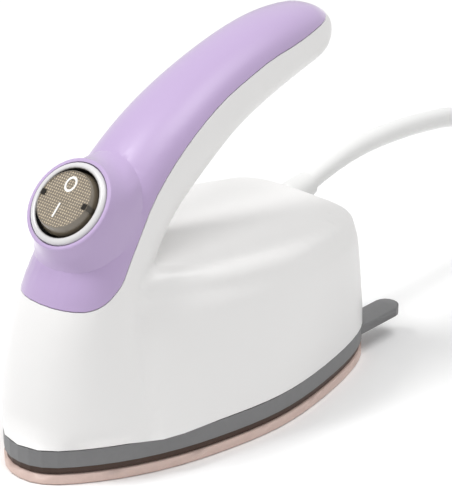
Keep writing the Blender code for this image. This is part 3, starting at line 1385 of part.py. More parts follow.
def cord_clamp():
    """Bar under the lead with two screws into the housing's posts."""
    top = -CORD_RADIUS - FIT_GAP
    frame = CORD @ Matrix.Translation((0, 0, -CLAMP_SETBACK)) @ Matrix.Rotation(math.pi / 2, 4, "X")
    points, faces = slab(CLAMP_WIDTH, CLAMP_DEPTH, CLAMP_THICKNESS / 2, top - CLAMP_THICKNESS, top)
    bar = add_mesh("cord_clamp", placed(points, frame), faces, finish="black_plastic")
    for n, (x, _) in enumerate(clamp_post_places()):
        place = frame @ Matrix.Translation((x, 0, 0))
        cut(bar, cutter_disc(f"clamp_hole_{n}", HOLE_RADIUS, -FAR / 4, 0, place, SMALL_SIDES))
        under = place @ Matrix.Translation((0, 0, top - CLAMP_THICKNESS - FIT_GAP))
        screw(f"clamp_screw_{n + 1}", under @ Matrix.Rotation(math.pi, 4, "X"), CLAMP_THICKNESS, SCREW_BITE)


def coil_points():
    """Two layers of loops: in on the lower one, up in the half turn at the middle, out on the upper one."""
    outer = COIL_MIDDLE_RADIUS + COIL_LOOPS * COIL_PITCH / 2
    inner = outer - COIL_LOOPS * COIL_PITCH
    level = COIL_LIFT + CORD_RADIUS
    layer = COIL_PITCH
    turns = 2 * COIL_LOOPS + 0.5
    steps = int(round(turns * LOOP_POINTS))
    points = []
    for i in range(steps + 1):
        turn = i / LOOP_POINTS
        if turn < COIL_LOOPS + 0.25:
            radius = outer - COIL_PITCH * turn
        else:
            radius = inner - COIL_PITCH * 0.25 + COIL_PITCH * (turn - COIL_LOOPS - 0.25)
        rise = min(max((turn - COIL_LOOPS) / 0.5, 0), 1)
        z = level + layer * rise * rise * (3 - 2 * rise)
        angle = math.pi - 2 * math.pi * turn
        points.append((COIL_CENTRE_X + radius * math.cos(angle), COIL_CENTRE_Y + radius * math.sin(angle), z))
    return points


def straight_ends(points, start_length, end_length):
    """The same points with a straight run, along Y, put on each end."""
    first, last = points[0], points[-1]
    before = (first[0], first[1] - start_length, first[2])
    after = (last[0], last[1] - end_length, last[2])
    return [before, *points, after]


def lead_points():
    """The free lead from inside the housing to the coil, read off a smooth curve."""
    start = [CORD @ Vector((0, 0, reach)) for reach in (-CORD_INSIDE, -CORD_INSIDE + CORD_DIAMETER, 0)]
    rear = REAR_Y - ROUTE_BODY_LENGTH
    route = [tuple(p) for p in start] + [(x, rear + y, z) for x, y, z in CORD_ROUTE]
    coil = coil_points()[0]
    meet = (coil[0], coil[1] - CORD_DIAMETER - FIT_GAP, coil[2])
    route += [(meet[0], meet[1] - CORD_DIAMETER, meet[2]), meet]
    return smooth_route(route, CORD_STEP)


def smooth_route(knots, step):
    """Evenly spaced points on the smooth curve through the knots, keeping the straight run at either end."""
    fine = spline(knots, np.linspace(1, len(knots) - 2, 400))[0]
    reach = np.concatenate([[0], np.cumsum(np.linalg.norm(np.diff(fine, axis=0), axis=1))])
    places = np.linspace(0, reach[-1], max(int(reach[-1] / step), 4))
    middle = [tuple(np.interp(place, reach, fine[:, axis]) for axis in range(3)) for place in places]
    return [knots[0], *middle, knots[-1]]


def inner_lead(name, start, route, end, finish):
    """Lead between two faces, each given as a place and the direction straight away from it."""
    points = []
    for place, away in (start, end):
        square = [place + away * (FIT_GAP + run) for run in (0, LEAD_END_RUN)]
        points.append([tuple(p) for p in square])
    stretch = BODY_LENGTH / ROUTE_BODY_LENGTH
    middle = [(x, NOSE_Y + y * stretch, z) for x, y, z in route]
    spots = smooth_route(points[0] + middle + points[1][::-1], LEAD_STEP)
    tube(name, spots, LEAD_RADIUS, finish, LEAD_SIDES_SETTING, from_nose=False)


def core_start(turn):
    """A core of the lead where its jacket ends: place and direction."""
    spot = Vector((CORE_SPREAD * math.sin(turn), -CORE_SPREAD * math.cos(turn), -CORD_INSIDE))
    return CORD @ spot, -(CORD.to_3x3() @ Vector((0, 0, 1)))


def terminal_end(centre, offset):
    spot = Vector((offset, centre, -SWITCH_BODY_DEPTH - TERMINAL_REACH))
    return SWITCH @ spot, -(SWITCH.to_3x3() @ Vector((0, 0, 1)))


def nose_place(x, y, z):
    return Vector((x, NOSE_Y + y, z))


def inner_leads():
    up, back = Vector((0, 0, 1)), Vector((0, 1, 0))
    pin_top = ELEMENT_TOP + FIT_GAP + ELEMENT_PIN_LENGTH
    pins = [(nose_place(side * ELEMENT_LEG_X, ELEMENT_REAR + ELEMENT_BEND, pin_top), up) for side in (-1, 1)]
    tab_top = PRESS_PLATE_TOP + FIT_GAP + THERMOSTAT_HEIGHT + THERMOSTAT_TAB_REACH
    tabs = [
        (nose_place(0, PRESS_PLATE_CENTRE + side * THERMOSTAT_RADIUS / 2, tab_top), up) for side in (-1, 1)
    ]
    fuse_height = SHIELD_TOP + FIT_GAP + FUSE_RADIUS
    fuse = [
        (nose_place(FUSE_X, FUSE_Y + side * FUSE_LENGTH / 2, fuse_height), back * side) for side in (-1, 1)
    ]
    splice = []
    for turn in (0, 2 * math.pi / 3, 4 * math.pi / 3):
        x = SPLICE_X - CORE_SPREAD * math.sin(turn)
        y = SPLICE_Y + CORE_SPREAD * math.cos(turn)
        splice.append((nose_place(x, y, SPLICE_BOTTOM + SPLICE_LENGTH), up))
    tag = earth_tag()
    third = 2 * math.pi / 3
    lamp, common, contact = terminal_centres()
    inner_lead("lead_neutral", core_start(0), NEUTRAL_ROUTE, splice[0], "blue_lead")
    inner_lead("lead_earth", core_start(third), EARTH_ROUTE, tag, "green_lead")
    inner_lead("lead_live", core_start(-third), LIVE_ROUTE, terminal_end(common, -LEAD_OFFSET), "brown_lead")
    inner_lead("lead_switched", terminal_end(contact, LEAD_OFFSET), SWITCHED_ROUTE, tabs[0], "brown_lead")
    inner_lead("lead_lamp", terminal_end(lamp, 0), LAMP_ROUTE, splice[1], "blue_lead")
    inner_lead("lead_fuse_front", tabs[1], FUSE_FRONT_ROUTE, fuse[0], "brown_lead")
    inner_lead("lead_fuse_rear", fuse[1], FUSE_REAR_ROUTE, pins[1], "brown_lead")
    inner_lead("lead_heater", pins[0], HEATER_ROUTE, splice[2], "blue_lead")
    points, faces = disc(SPLICE_RADIUS, SPLICE_BOTTOM, SPLICE_BOTTOM + SPLICE_LENGTH)
    add_mesh("splice_cap", placed(points, at(SPLICE_X, SPLICE_Y, 0)), faces, finish="white_plastic")


def earth_tag():
    """Ring tag screwed to the plate with an upright tail; gives the top of its tail."""
    x, y = earth_place()
    bottom = PLATFORM_HEIGHT + FIT_GAP
    frame = at(x, y, bottom)
    points, faces = disc(TAG_RADIUS, 0, TAG_THICKNESS)
    tag = add_mesh("earth_tag", placed(points, frame), faces, finish="brass")
    edge = SCREW_HEAD_RADIUS + FIT_GAP
    tail = cutter_box(
        "tag_tail",
        (-TAG_TAIL_WIDTH / 2, -edge - TAG_THICKNESS, TAG_THICKNESS / 2),
        (TAG_TAIL_WIDTH / 2, -edge, TAG_TAIL_HEIGHT),
        frame,
    )
    join(tag, tail)
    cut(tag, cutter_disc("tag_hole", HOLE_RADIUS, -OVERRUN, OVERRUN, frame, SMALL_SIDES))
    head = frame @ Matrix.Translation((0, 0, TAG_THICKNESS + FIT_GAP))
    screw("earth_screw", head, TAG_THICKNESS, PLATE_THICKNESS)
    return nose_place(x, y - edge - TAG_THICKNESS / 2, bottom + TAG_TAIL_HEIGHT), Vector((0, 0, 1))


def length_of(points):
    return float(np.linalg.norm(np.diff(np.array(points), axis=0), axis=1).sum())


def least_gap(points, diameter):
    """Least clear distance between stretches of a tube that lie more than a quarter loop apart."""
    spots = np.array(points)
    best = math.inf
    for i in range(len(spots)):
        others = spots[i + LOOP_POINTS // 2:]
        if len(others):
            best = min(best, float(np.linalg.norm(others - spots[i], axis=1).min()))
    return best - diameter


def cord_and_plug():
    lead = lead_points()
    tube("cord_run", lead, CORD_RADIUS, "cord_plastic", 2, from_nose=False)
    loops = coil_points()
    coil = straight_ends(loops, CORD_DIAMETER, COIL_END_RUN)
    tube("cord_coil", coil, CORD_RADIUS, "cord_plastic", 1, from_nose=False)
    print(f"coil: least gap {1000 * least_gap(loops, CORD_DIAMETER):.2f} mm")
    print(f"lead {length_of(lead):.3f} m + coil {length_of(coil):.3f} m of {CORD_LENGTH} m")
    add_coil_tie()
    add_plug(coil[-1])


def add_coil_tie():
    """Strap round the bundle at its far side."""
    outer = COIL_MIDDLE_RADIUS + COIL_LOOPS * COIL_PITCH / 2 + CORD_RADIUS + TIE_CLEARANCE
    inner = COIL_MIDDLE_RADIUS - COIL_LOOPS * COIL_PITCH / 2 - COIL_PITCH / 4 - CORD_RADIUS - TIE_CLEARANCE
    low = COIL_LIFT - FIT_GAP
    high = COIL_LIFT + 2 * CORD_RADIUS + COIL_PITCH + FIT_GAP
    y = COIL_CENTRE_Y + (outer + inner) / 2
    span = (outer - inner) / 2
    frame = Matrix.Translation((COIL_CENTRE_X, y, (low + high) / 2)) @ Matrix.Rotation(math.pi / 2, 4, "Y")
    sizes = (high - low, 2 * span)
    thick = TIE_THICKNESS
    shape = slab(sizes[0] + 2 * thick, sizes[1] + 2 * thick, 2 * thick, -TIE_WIDTH / 2, TIE_WIDTH / 2)
    tie = add_mesh("coil_tie", placed(shape[0], frame), shape[1], finish="black_plastic")
    points, faces = slab(sizes[0], sizes[1], thick, -TIE_WIDTH, TIE_WIDTH)
    cut(tie, add_mesh("tie_hollow", placed(points, frame), faces, cutter=True))


def add_plug(end):
    """Moulded plug lying on the surface with its blades pointing along -Y."""
    height = 2 * end[2]
    frame = Matrix.Translation((end[0], end[1] - FIT_GAP, end[2])) @ Matrix.Rotation(math.pi / 2, 4, "X")
    rings = []
    for z, share in ((0, PLUG_RELIEF_TAPER_SHARE), (PLUG_RELIEF_LENGTH, 1)):
        radius = PLUG_RELIEF_RADIUS * share
        rings.append(rounded_ring(2 * radius, 2 * radius, radius * PLUG_RELIEF_CORNER_SHARE, z))
    shoulder = PLUG_RELIEF_LENGTH + CORD_DIAMETER
    end_z = PLUG_RELIEF_LENGTH + PLUG_LENGTH
    corner = height / 4
    narrow, low = PLUG_SHOULDER_SHARES
    rings.append(rounded_ring(PLUG_WIDTH * narrow, height * low, corner, shoulder - CORD_RADIUS / 2))
    rings.append(rounded_ring(PLUG_WIDTH, height, corner, shoulder + CORD_RADIUS))
    rings.append(rounded_ring(PLUG_WIDTH, height, corner, end_z))
    points, faces = loft(rings)
    add_mesh("plug_body", placed(points, frame), faces, finish="cord_plastic")
    for name, side in (("plug_blade_left", -1), ("plug_blade_right", 1)):
        x = side * BLADE_SPACING / 2
        low = (x - BLADE_THICKNESS / 2, -BLADE_WIDTH / 2 - EARTH_PIN_RISE / 3, end_z + FIT_GAP)
        high = (x + BLADE_THICKNESS / 2, BLADE_WIDTH / 2 - EARTH_PIN_RISE / 3, end_z + BLADE_LENGTH)
        points, faces = box_shape(low, high)
        add_mesh(name, placed(points, frame), faces, finish="brass")
    points, faces = disc(EARTH_PIN_RADIUS, end_z + FIT_GAP, end_z + EARTH_PIN_LENGTH)
    place = frame @ Matrix.Translation((0, EARTH_PIN_RISE, 0))
    add_mesh("plug_earth_pin", placed(points, place), faces, finish="brass")


def main():
    clear_scene()
    body_housing()
    handle_cover()
    heat_plate()
    sole_gasket()
    base_band()
    heating_element()
    press_plate()
    thermostat()
    insulation_pad()
    heat_shield()
    thermal_fuse()
    screws()
    switch_body()
    switch_rocker()
    switch_plunger()
    rocking_contact()
    switch_terminals()
    neon_lamp()
    strain_relief()
    cord_clamp()
    inner_leads()
    cord_and_plug()


main()
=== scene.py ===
"""Mini handheld heat press: visible pieces, finishes, camera, lead and stage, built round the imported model.

Metres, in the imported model's own frame. The nose points along -Y, and the press stands on Z = 0.
"""

import json
import math

import bmesh
import bpy
from bpy.props import FloatProperty, FloatVectorProperty, PointerProperty
from mathutils import Matrix, Vector


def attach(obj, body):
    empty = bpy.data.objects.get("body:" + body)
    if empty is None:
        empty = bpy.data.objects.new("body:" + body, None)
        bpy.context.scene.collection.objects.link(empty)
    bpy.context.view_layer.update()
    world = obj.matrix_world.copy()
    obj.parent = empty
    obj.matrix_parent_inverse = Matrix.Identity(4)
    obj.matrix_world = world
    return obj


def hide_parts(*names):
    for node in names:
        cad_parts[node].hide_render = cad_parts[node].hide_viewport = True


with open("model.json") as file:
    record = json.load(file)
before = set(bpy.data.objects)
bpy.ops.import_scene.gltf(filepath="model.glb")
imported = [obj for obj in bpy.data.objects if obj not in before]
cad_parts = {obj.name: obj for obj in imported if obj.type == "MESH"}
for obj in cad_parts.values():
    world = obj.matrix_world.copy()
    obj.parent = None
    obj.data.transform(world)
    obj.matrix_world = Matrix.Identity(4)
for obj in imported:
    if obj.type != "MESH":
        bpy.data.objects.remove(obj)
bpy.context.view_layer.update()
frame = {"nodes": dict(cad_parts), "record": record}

bl_info = {
    "name": "Mini heat press",
    "version": (1, 0, 0),
    "blender": (4, 5, 0),
    "location": "3D View > Sidebar > Press",
    "description": "Builds the visible pieces and finishes of a mini handheld heat press",
    "category": "Add Mesh",
}

MM = 0.001

# Camera, fitted to the photograph
CAMERA_PLACE = (0.39711, -0.42674, 0.31465)
CAMERA_PITCH = math.radians(65)
CAMERA_TURN = math.radians(42)
CAMERA_LENS = 169.57
CAMERA_SENSOR = 36
CAMERA_NEAR = 0.01

# Meshes: edges sharper than this stay sharp, and points closer than these are merged
SHARP_EDGE = math.radians(35)
MERGE_DISTANCE = 0.5e-6
SHORTEST_EDGE = 1e-6
CUT_TOLERANCE = 1e-7
FLAT_FACE_WEIGHT = 80

# Shells: outer and inner edges held when the surface is evened, longest edge and rounds of evening
HOUSING_HOLD = (math.radians(46), math.radians(100))
HOUSING_SPAN = 1.9 * MM
HOUSING_ROUNDS = 40
COVER_HOLD = (math.radians(24), math.radians(24))
COVER_SPAN = 1.5 * MM
COVER_ROUNDS = 30
SPLIT_PASSES = 8
EVENING_PUSHES = (0.5, -0.52)

# The switch in the model: hinge of the rocker, tilt of the switch's face and of the rocker when off
ROCKER_HINGE = (0.0, -0.043952, 0.070121)
SWITCH_FACE = (0.0, -0.045809, 0.071794)
SWITCH_LEAN = math.radians(48)
ROCKER_REST = math.radians(-4)
ROCKER_FRAME = Matrix.Translation(ROCKER_HINGE) @ Matrix.Rotation(SWITCH_LEAN + ROCKER_REST, 4, "X")

# Rocker, in its own frame: side profile as radius and height in millimetres
ROCKER_SIDE = (
    (7.86, 4.58), (7.92, 4.76), (8.02, 4.82), (8.14, 4.77), (8.22, 4.6), (9.05, 2.2), (9.05, 0.0),
    (8.6, -3.4), (7.5, -3.4), (7.5, 2.0),
)
ROCKER_TURN_STEPS = 96
ROCKER_SHARP_EDGE = math.radians(30)
TREAD_SLOT = 1
NOTCH_SHADE_SLOT = 2
GROOVE_SHADE_SLOT = 3
TREAD_RADIUS = 7.88 * MM
TREAD_BASE = 4.5 * MM
TREAD_FLOOR = 3.6 * MM
TRIM_PLANES = 60

# Notches on the hinge line, and the grooves below them as radius and height: dark blocks of painted shade
# where the notches and grooves are
NOTCH_WIDTH = 1.5 * MM
NOTCH_INNER = 6.6 * MM
NOTCH_OUTER = 8.05 * MM
NOTCH_TOP = 4.84 * MM
GROOVE_TOP = (8.18 * MM, 4.74 * MM)
GROOVE_FOOT = (9.12 * MM, 1.9 * MM)
GROOVE_THICKNESS = 0.3 * MM

# Marks: places along the rocker, and their shapes as shares of the mark's height and stroke
OFF_MARK_PLACE = 4.3 * MM
ON_MARK_PLACE = -3.35 * MM
MARK_SHIFT = -0.5 * MM
MARK_BASE = 4.25 * MM
MARK_LIFT = 0.04 * MM
RING_STEPS = 64
RING_WIDTH_SHARE = 0.8
BAR_STROKE_SHARE = 0.75
BAR_HEIGHT_SHARE = 0.92

# Tones of the rocker's details, as shares of its colour: painted shade at the tread's feet, in the notches
# and in the grooves, and a painted highlight at the tread's tips
TREAD_FOOT_SHADE_TONE = 0.03
TREAD_TIP_HIGHLIGHT_TONE = 2.7
NOTCH_SHADE_TONE = 0.05
GROOVE_SHADE_TONE = 0.25

# Painted shade in the well round the rocker, in the frame of the switch's face: the white bezel's faces
# inside it are painted black
SHADE_WELL_RADIUS = 9.86 * MM
SHADE_WELL_FLOOR = -0.4 * MM
SHADE_WELL_STEEPNESS = 0.35
SHADE_WELL_SLOT = 1

# Lead: where it leaves the housing, the points from its inner end to the coil, then the coil
LEAD_ROUTE = (
    (-0.00900, 0.03161, 0.03389), (-0.00900, 0.03763, 0.03539), (-0.00900, 0.04218, 0.03650),
    (-0.00900, 0.04673, 0.03762), (-0.00900, 0.05126, 0.03879), (-0.00900, 0.05578, 0.04002),
    (-0.00904, 0.06029, 0.04127), (-0.00920, 0.06484, 0.04236), (-0.00954, 0.06945, 0.04309),
    (-0.00984, 0.07409, 0.04370), (-0.01009, 0.07874, 0.04418), (-0.01032, 0.08341, 0.04446),
    (-0.01055, 0.08808, 0.04452), (-0.01076, 0.09276, 0.04438), (-0.01099, 0.09743, 0.04411),
    (-0.01125, 0.10209, 0.04372), (-0.01154, 0.10674, 0.04324), (-0.01187, 0.11137, 0.04266),
    (-0.01220, 0.11599, 0.04198), (-0.01251, 0.12060, 0.04122), (-0.01274, 0.12522, 0.04044),
    (-0.01294, 0.12982, 0.03962), (-0.01329, 0.13435, 0.03849), (-0.01394, 0.13870, 0.03689),
    (-0.01483, 0.14283, 0.03488), (-0.01586, 0.14675, 0.03253), (-0.01697, 0.15048, 0.02992),
    (-0.01813, 0.15408, 0.02717), (-0.01934, 0.15763, 0.02436), (-0.02059, 0.16117, 0.02156),
    (-0.02188, 0.16474, 0.01882), (-0.02319, 0.16834, 0.01613), (-0.02451, 0.17200, 0.01353),
    (-0.02582, 0.17574, 0.01103), (-0.02707, 0.17966, 0.00879), (-0.02813, 0.18386, 0.00703),
    (-0.02890, 0.18833, 0.00585), (-0.02946, 0.19291, 0.00508), (-0.02985, 0.19755, 0.00460),
    (-0.02985, 0.20375, 0.00460),
)
COIL_CENTRE = (0.015, 0.21025)
COIL_LOOPS = 3
COIL_MIDDLE_RADIUS = 0.0345
COIL_PITCH = 0.0069
COIL_LEVEL = 0.0046
COIL_CLIMB_TURNS = 0.5
COIL_POINTS = 24
COIL_END_RUN = 0.014
LEAD_ROUNDNESS = 5

# Stage: lamps with their place, side and power, all aimed at the press, then the room and the floor
LAMPS = (
    ("key_softbox", (-0.5, -0.6, 1.3), 0.4, 12.5),
    ("fill_softbox", (0.4, 0.1, 1.45), 0.8, 8.5),
)
LAMP_AIM = (0, 0, 0.04)
WHITE = (1.0, 1.0, 1.0, 1.0)
ROOM_STRENGTH = 0.36
FLOOR_GLOW = 0.06
FLOOR_LEVEL = -0.05 * MM

# Sockets of a Mix node set to colours
MIX_FIRST = 6
MIX_SECOND = 7
MIX_RESULT = 2


def linear(code):
    """An sRGB hex colour as linear red, green, blue and alpha."""
    channels = [int(code[i:i + 2], 16) / 255 for i in (1, 3, 5)]
    return tuple(c / 12.92 if c <= 0.04045 else ((c + 0.055) / 1.055) ** 2.4 for c in channels) + (1.0,)


def toned(colour, share):
    """A linear colour times a share, kept at or under full white."""
    return [min(c * share, 1) for c in colour[:3]] + [1]


def colour_property(name, code, description):
    """A colour that a user would change, from its sRGB hex code."""
    return FloatVectorProperty(
        name=name, description=description, subtype="COLOR", size=4, min=0, max=1, default=linear(code)
    )


class PressSizes(bpy.types.PropertyGroup):
    """Sizes of the press that a user would change"""

    lead_diameter: FloatProperty(
        name="Lead diameter", description="Outside of the round mains lead", default=0.0062, unit="LENGTH"
    )
    lead_length: FloatProperty(
        name="Lead length", description="Real length of the mains lead", default=1.6, unit="LENGTH"
    )
    tread_pitch: FloatProperty(
        name="Tread pitch", description="Spacing of the pyramids", default=0.00078, unit="LENGTH"
    )
    tread_rise: FloatProperty(
        name="Tread rise", description="Height of each pyramid", default=0.00022, unit="LENGTH"
    )
    mark_stroke: FloatProperty(
        name="Mark stroke", description="Width of the marks' line", default=0.00065, unit="LENGTH"
    )
    mark_height: FloatProperty(
        name="Mark height", description="Height of the round mark", default=0.0045, unit="LENGTH"
    )
    floor_size: FloatProperty(
        name="Floor size", description="Side of the square floor", default=8.0, unit="LENGTH"
    )


class PressColours(bpy.types.PropertyGroup):
    """Colours of the press that a user would change"""

    housing: colour_property("Housing", "#F3F2F1", "Moulded shell, base and handle underside")
    cover: colour_property("Cover", "#BCA6CE", "Moulded cover of the handle and switch boss")
    bezel: colour_property("Bezel", "#DCDBDC", "Ring round the rocker")
    rocker: colour_property("Rocker", "#857A69", "Smoked clear rocker")
    mark: colour_property("Marks", "#F7F7F4", "Printed on and off marks")
    band: colour_property("Band", "#79797A", "Heat-resisting ring under the housing")
    gasket: colour_property("Gasket", "#40291C", "Rubber ring between band and plate")
    plate: colour_property("Plate", "#E0C6BC", "Coating of the heat plate")
    lead: colour_property("Lead", "#EEEEED", "Jacket of the mains lead")
    plug: colour_property("Plug", "#E9E9E8", "Moulded plug")
    tie: colour_property("Tie", "#2A2A2C", "Strap round the stored lead")


def node(tree, kind, settings=None, inputs=None, links=None):
    """Adds a node, with its settings, its unlinked inputs' values and the sockets linked to its inputs."""
    made = tree.nodes.new(kind)
    for key, value in (settings or {}).items():
        setattr(made, key, value)
    for key, value in (inputs or {}).items():
        made.inputs[key].default_value = value
    for key, socket in (links or {}).items():
        tree.links.new(socket, made.inputs[key])
    return made


def empty_tree(owner):
    """The node tree of a material or world, with nothing in it."""
    owner.use_nodes = True
    owner.node_tree.nodes.clear()
    return owner.node_tree


def surface(name, colour, base, grain, depth, variation=0.02, rough=0.05, stretch=(1, 1, 1), coarse=18 * MM):
    """A finish with slight drifts of tone and gloss, and a fine grain of a real size in relief.

    base holds the shader's own constants. grain is the grain's size, depth its height and coarse the size
    of the drifts of tone, all in metres. The grain of a moulding tool, near 0.05 mm, is too fine for the
    render, so the finishes draw it at 0.2 to 0.6 mm.
    """
    made = bpy.data.materials.new(name)
    tree = empty_tree(made)
    place = node(tree, "ShaderNodeTexCoord")
    turned = node(
        tree, "ShaderNodeMapping", inputs={"Scale": stretch}, links={"Vector": place.outputs["Object"]}
    )
    drift = node(
        tree, "ShaderNodeTexNoise", inputs={"Scale": 1 / coarse, "Detail": 3.0},
        links={"Vector": turned.outputs[0]},
    )
    fine = node(
        tree, "ShaderNodeTexNoise", inputs={"Scale": 1 / grain, "Detail": 2.0},
        links={"Vector": turned.outputs[0]},
    )
    blend = node(
        tree, "ShaderNodeMix", {"data_type": "RGBA"},
        {MIX_FIRST: toned(colour, 1 - variation), MIX_SECOND: toned(colour, 1 + variation)},
        {0: drift.outputs["Fac"]},
    )
    gloss = node(
        tree, "ShaderNodeMapRange",
        inputs={"To Min": base["Roughness"] - rough, "To Max": base["Roughness"] + rough},
        links={"Value": fine.outputs["Fac"]},
    )
    relief = node(
        tree, "ShaderNodeBump", inputs={"Strength": 1.0, "Distance": depth},
        links={"Height": fine.outputs["Fac"]},
    )
    constants = {key: value for key, value in base.items() if key != "Roughness"}
    finish_shader(tree, constants, blend, gloss, relief)
    return made


def finish_shader(tree, constants, blend, gloss, relief):
    """The shader and the output that end a finish."""
    shader = node(
        tree, "ShaderNodeBsdfPrincipled", inputs=constants,
        links={
            "Base Color": blend.outputs[MIX_RESULT], "Roughness": gloss.outputs[0],
            "Normal": relief.outputs[0],
        },
    )
    node(tree, "ShaderNodeOutputMaterial", links={"Surface": shader.outputs[0]})


def housing_abs(colours):
    """Injection-moulded ABS, fine spark-eroded tool: an even satin white with soft highlights."""
    return surface(
        "white_moulded_abs", colours.housing, {"Roughness": 0.34, "IOR": 1.53, "Specular IOR Level": 0.5},
        grain=0.3 * MM, depth=0.004 * MM, variation=0.006, rough=0.04,
    )


def cover_abs(colours):
    """Self-coloured lavender ABS from the same kind of tool: satin, a little softer in its highlights."""
    return surface(
        "lavender_moulded_abs", colours.cover,
        {"Roughness": 0.38, "IOR": 1.53, "Sheen Weight": 1.0, "Sheen Roughness": 0.35},
        grain=0.3 * MM, depth=0.004 * MM, variation=0.01, rough=0.04,
    )


def bezel_nylon(colours):
    """Nylon 66 switch body from a polished tool: warm white with a clear sheen."""
    return surface(
        "warm_white_nylon", colours.bezel, {"Roughness": 0.24, "IOR": 1.53},
        grain=0.25 * MM, depth=0.002 * MM, variation=0.008, rough=0.03,
    )


def rocker_polycarbonate(colours):
    """Smoked clear polycarbonate, polished: glossy, with light passing into its edges."""
    return surface(
        "smoked_polycarbonate", colours.rocker,
        {
            "Roughness": 0.14, "IOR": 1.585, "Coat Weight": 0.6, "Coat Roughness": 0.08,
            "Transmission Weight": 0.2,
        },
        grain=1.2 * MM, depth=0.003 * MM, variation=0.12, rough=0.04, coarse=2.5 * MM,
    )


def tread_with_painted_light(colours, pitch):
    """The same polycarbonate in small pyramids, with painted light: each is painted light at its top as a
    highlight and painted dark round its foot as shade.
    """
    made = bpy.data.materials.new("pyramid_painted_light")
    tree = empty_tree(made)
    place = node(tree, "ShaderNodeTexCoord")
    turned = node(
        tree, "ShaderNodeMapping", {"vector_type": "TEXTURE"},
        {"Location": ROCKER_HINGE, "Rotation": (SWITCH_LEAN + ROCKER_REST, 0, 0)},
        {"Vector": place.outputs["Object"]},
    )
    axes = node(tree, "ShaderNodeSeparateXYZ", links={"Vector": turned.outputs[0]})
    waves = []
    for axis in ("X", "Y"):
        phase = node(
            tree, "ShaderNodeMath", {"operation": "MULTIPLY"}, {1: math.pi / pitch}, {0: axes.outputs[axis]}
        )
        wave = node(tree, "ShaderNodeMath", {"operation": "SINE"}, links={0: phase.outputs[0]})
        height = node(tree, "ShaderNodeMath", {"operation": "ABSOLUTE"}, links={0: wave.outputs[0]})
        waves.append(height.outputs[0])
    peaks = node(tree, "ShaderNodeMath", {"operation": "MULTIPLY"}, links={0: waves[0], 1: waves[1]})
    drift = node(
        tree, "ShaderNodeTexNoise", inputs={"Scale": 1 / (1.8 * MM), "Detail": 2.0},
        links={"Vector": place.outputs["Object"]},
    )
    level = node(
        tree, "ShaderNodeMath", {"operation": "MULTIPLY_ADD"}, {1: 0.5},
        {0: drift.outputs["Fac"], 2: peaks.outputs[0]},
    )
    ramp = node(
        tree, "ShaderNodeMapRange", inputs={"From Min": 0.67, "From Max": 1.0},
        links={"Value": level.outputs[0]},
    )
    # Painted shade round each pyramid's foot and a painted highlight at its tip
    foot, tip = toned(colours.rocker, TREAD_FOOT_SHADE_TONE), toned(colours.rocker, TREAD_TIP_HIGHLIGHT_TONE)
    blend = node(
        tree, "ShaderNodeMix", {"data_type": "RGBA"}, {MIX_FIRST: foot, MIX_SECOND: tip},
        {0: ramp.outputs[0]},
    )
    gloss = node(
        tree, "ShaderNodeMapRange", inputs={"To Min": 0.16, "To Max": 0.34},
        links={"Value": drift.outputs["Fac"]},
    )
    relief = node(
        tree, "ShaderNodeBump", inputs={"Strength": 0.6, "Distance": 0.05 * MM},
        links={"Height": peaks.outputs[0]},
    )
    finish_shader(tree, {"IOR": 1.585}, blend, gloss, relief)
    return made


def notch_shadow(colours):
    """Painted shade in the depth of the rocker's two notches: the same polycarbonate, darkened to nearly
    black.
    """
    return surface(
        "notch_painted_shade", toned(colours.rocker, NOTCH_SHADE_TONE),
        {"Roughness": 0.5, "IOR": 1.585, "Specular IOR Level": 0.1},
        grain=0.4 * MM, depth=0.004 * MM, variation=0.1,
    )


def groove_shadow(colours):
    """Painted shade in the groove down the rocker's side below a notch: polished like the side, and darker.
    """
    return surface(
        "groove_painted_shade", toned(colours.rocker, GROOVE_SHADE_TONE), {"Roughness": 0.3, "IOR": 1.585},
        grain=0.4 * MM, depth=0.004 * MM, variation=0.1,
    )


def well_painted_shade():
    """Painted shade on the white bezel's wall in the well that the rocker sits in: matt black, so that the
    gap round the rocker reads dark.
    """
    return surface(
        "painted_shade_well", linear("#141416"), {"Roughness": 0.6, "IOR": 1.53},
        grain=0.25 * MM, depth=0.004 * MM, variation=0.1,
    )


def mark_ink(colours):
    """Pad-printed ink: opaque white, slightly uneven, a little less glossy than the plastic."""
    return surface(
        "white_pad_ink", colours.mark, {"Roughness": 0.45, "IOR": 1.5}, grain=0.12 * MM, depth=0.004 * MM
    )


def band_nylon(colours):
    """Glass-filled nylon, moulded: matt mid grey with a fine speckle of fibre."""
    return surface(
        "grey_glass_filled_nylon", colours.band, {"Roughness": 0.5, "IOR": 1.53},
        grain=0.22 * MM, depth=0.012 * MM, variation=0.05, rough=0.08, coarse=1.5 * MM,
    )


def gasket_silicone(colours):
    """Moulded silicone rubber: dark brown, soft gloss on its rounded edge."""
    return surface(
        "brown_silicone_rubber", colours.gasket, {"Roughness": 0.38, "IOR": 1.43},
        grain=0.5 * MM, depth=0.01 * MM, variation=0.08, rough=0.08, coarse=4 * MM,
    )


def plate_coating(colours):
    """Sprayed ceramic non-stick coating on aluminium: matt rose with a fine mineral fleck."""
    return surface(
        "rose_ceramic_coating", colours.plate, {"Roughness": 0.5, "IOR": 1.5},
        grain=0.18 * MM, depth=0.01 * MM, variation=0.05, rough=0.07, coarse=0.7 * MM,
    )


def lead_pvc(colours):
    """Extruded PVC jacket: smooth white with a broad soft highlight."""
    return surface(
        "white_extruded_pvc", colours.lead, {"Roughness": 0.36, "IOR": 1.53},
        grain=0.6 * MM, depth=0.006 * MM, variation=0.012, coarse=9 * MM,
    )


def plug_pvc(colours):
    """Over-moulded PVC plug: white, finely textured for grip."""
    return surface(
        "white_moulded_pvc", colours.plug, {"Roughness": 0.42, "IOR": 1.53},
        grain=0.35 * MM, depth=0.012 * MM, variation=0.015,
    )


def tie_nylon(colours):
    """Woven nylon strap: near black and matt, with an uneven weave drawn out across the strap."""
    return surface(
        "black_woven_nylon", colours.tie, {"Roughness": 0.75, "IOR": 1.53, "Sheen Weight": 0.3},
        grain=0.5 * MM, depth=0.05 * MM, variation=0.2, rough=0.08, stretch=(1, 3, 1), coarse=1.2 * MM,
    )


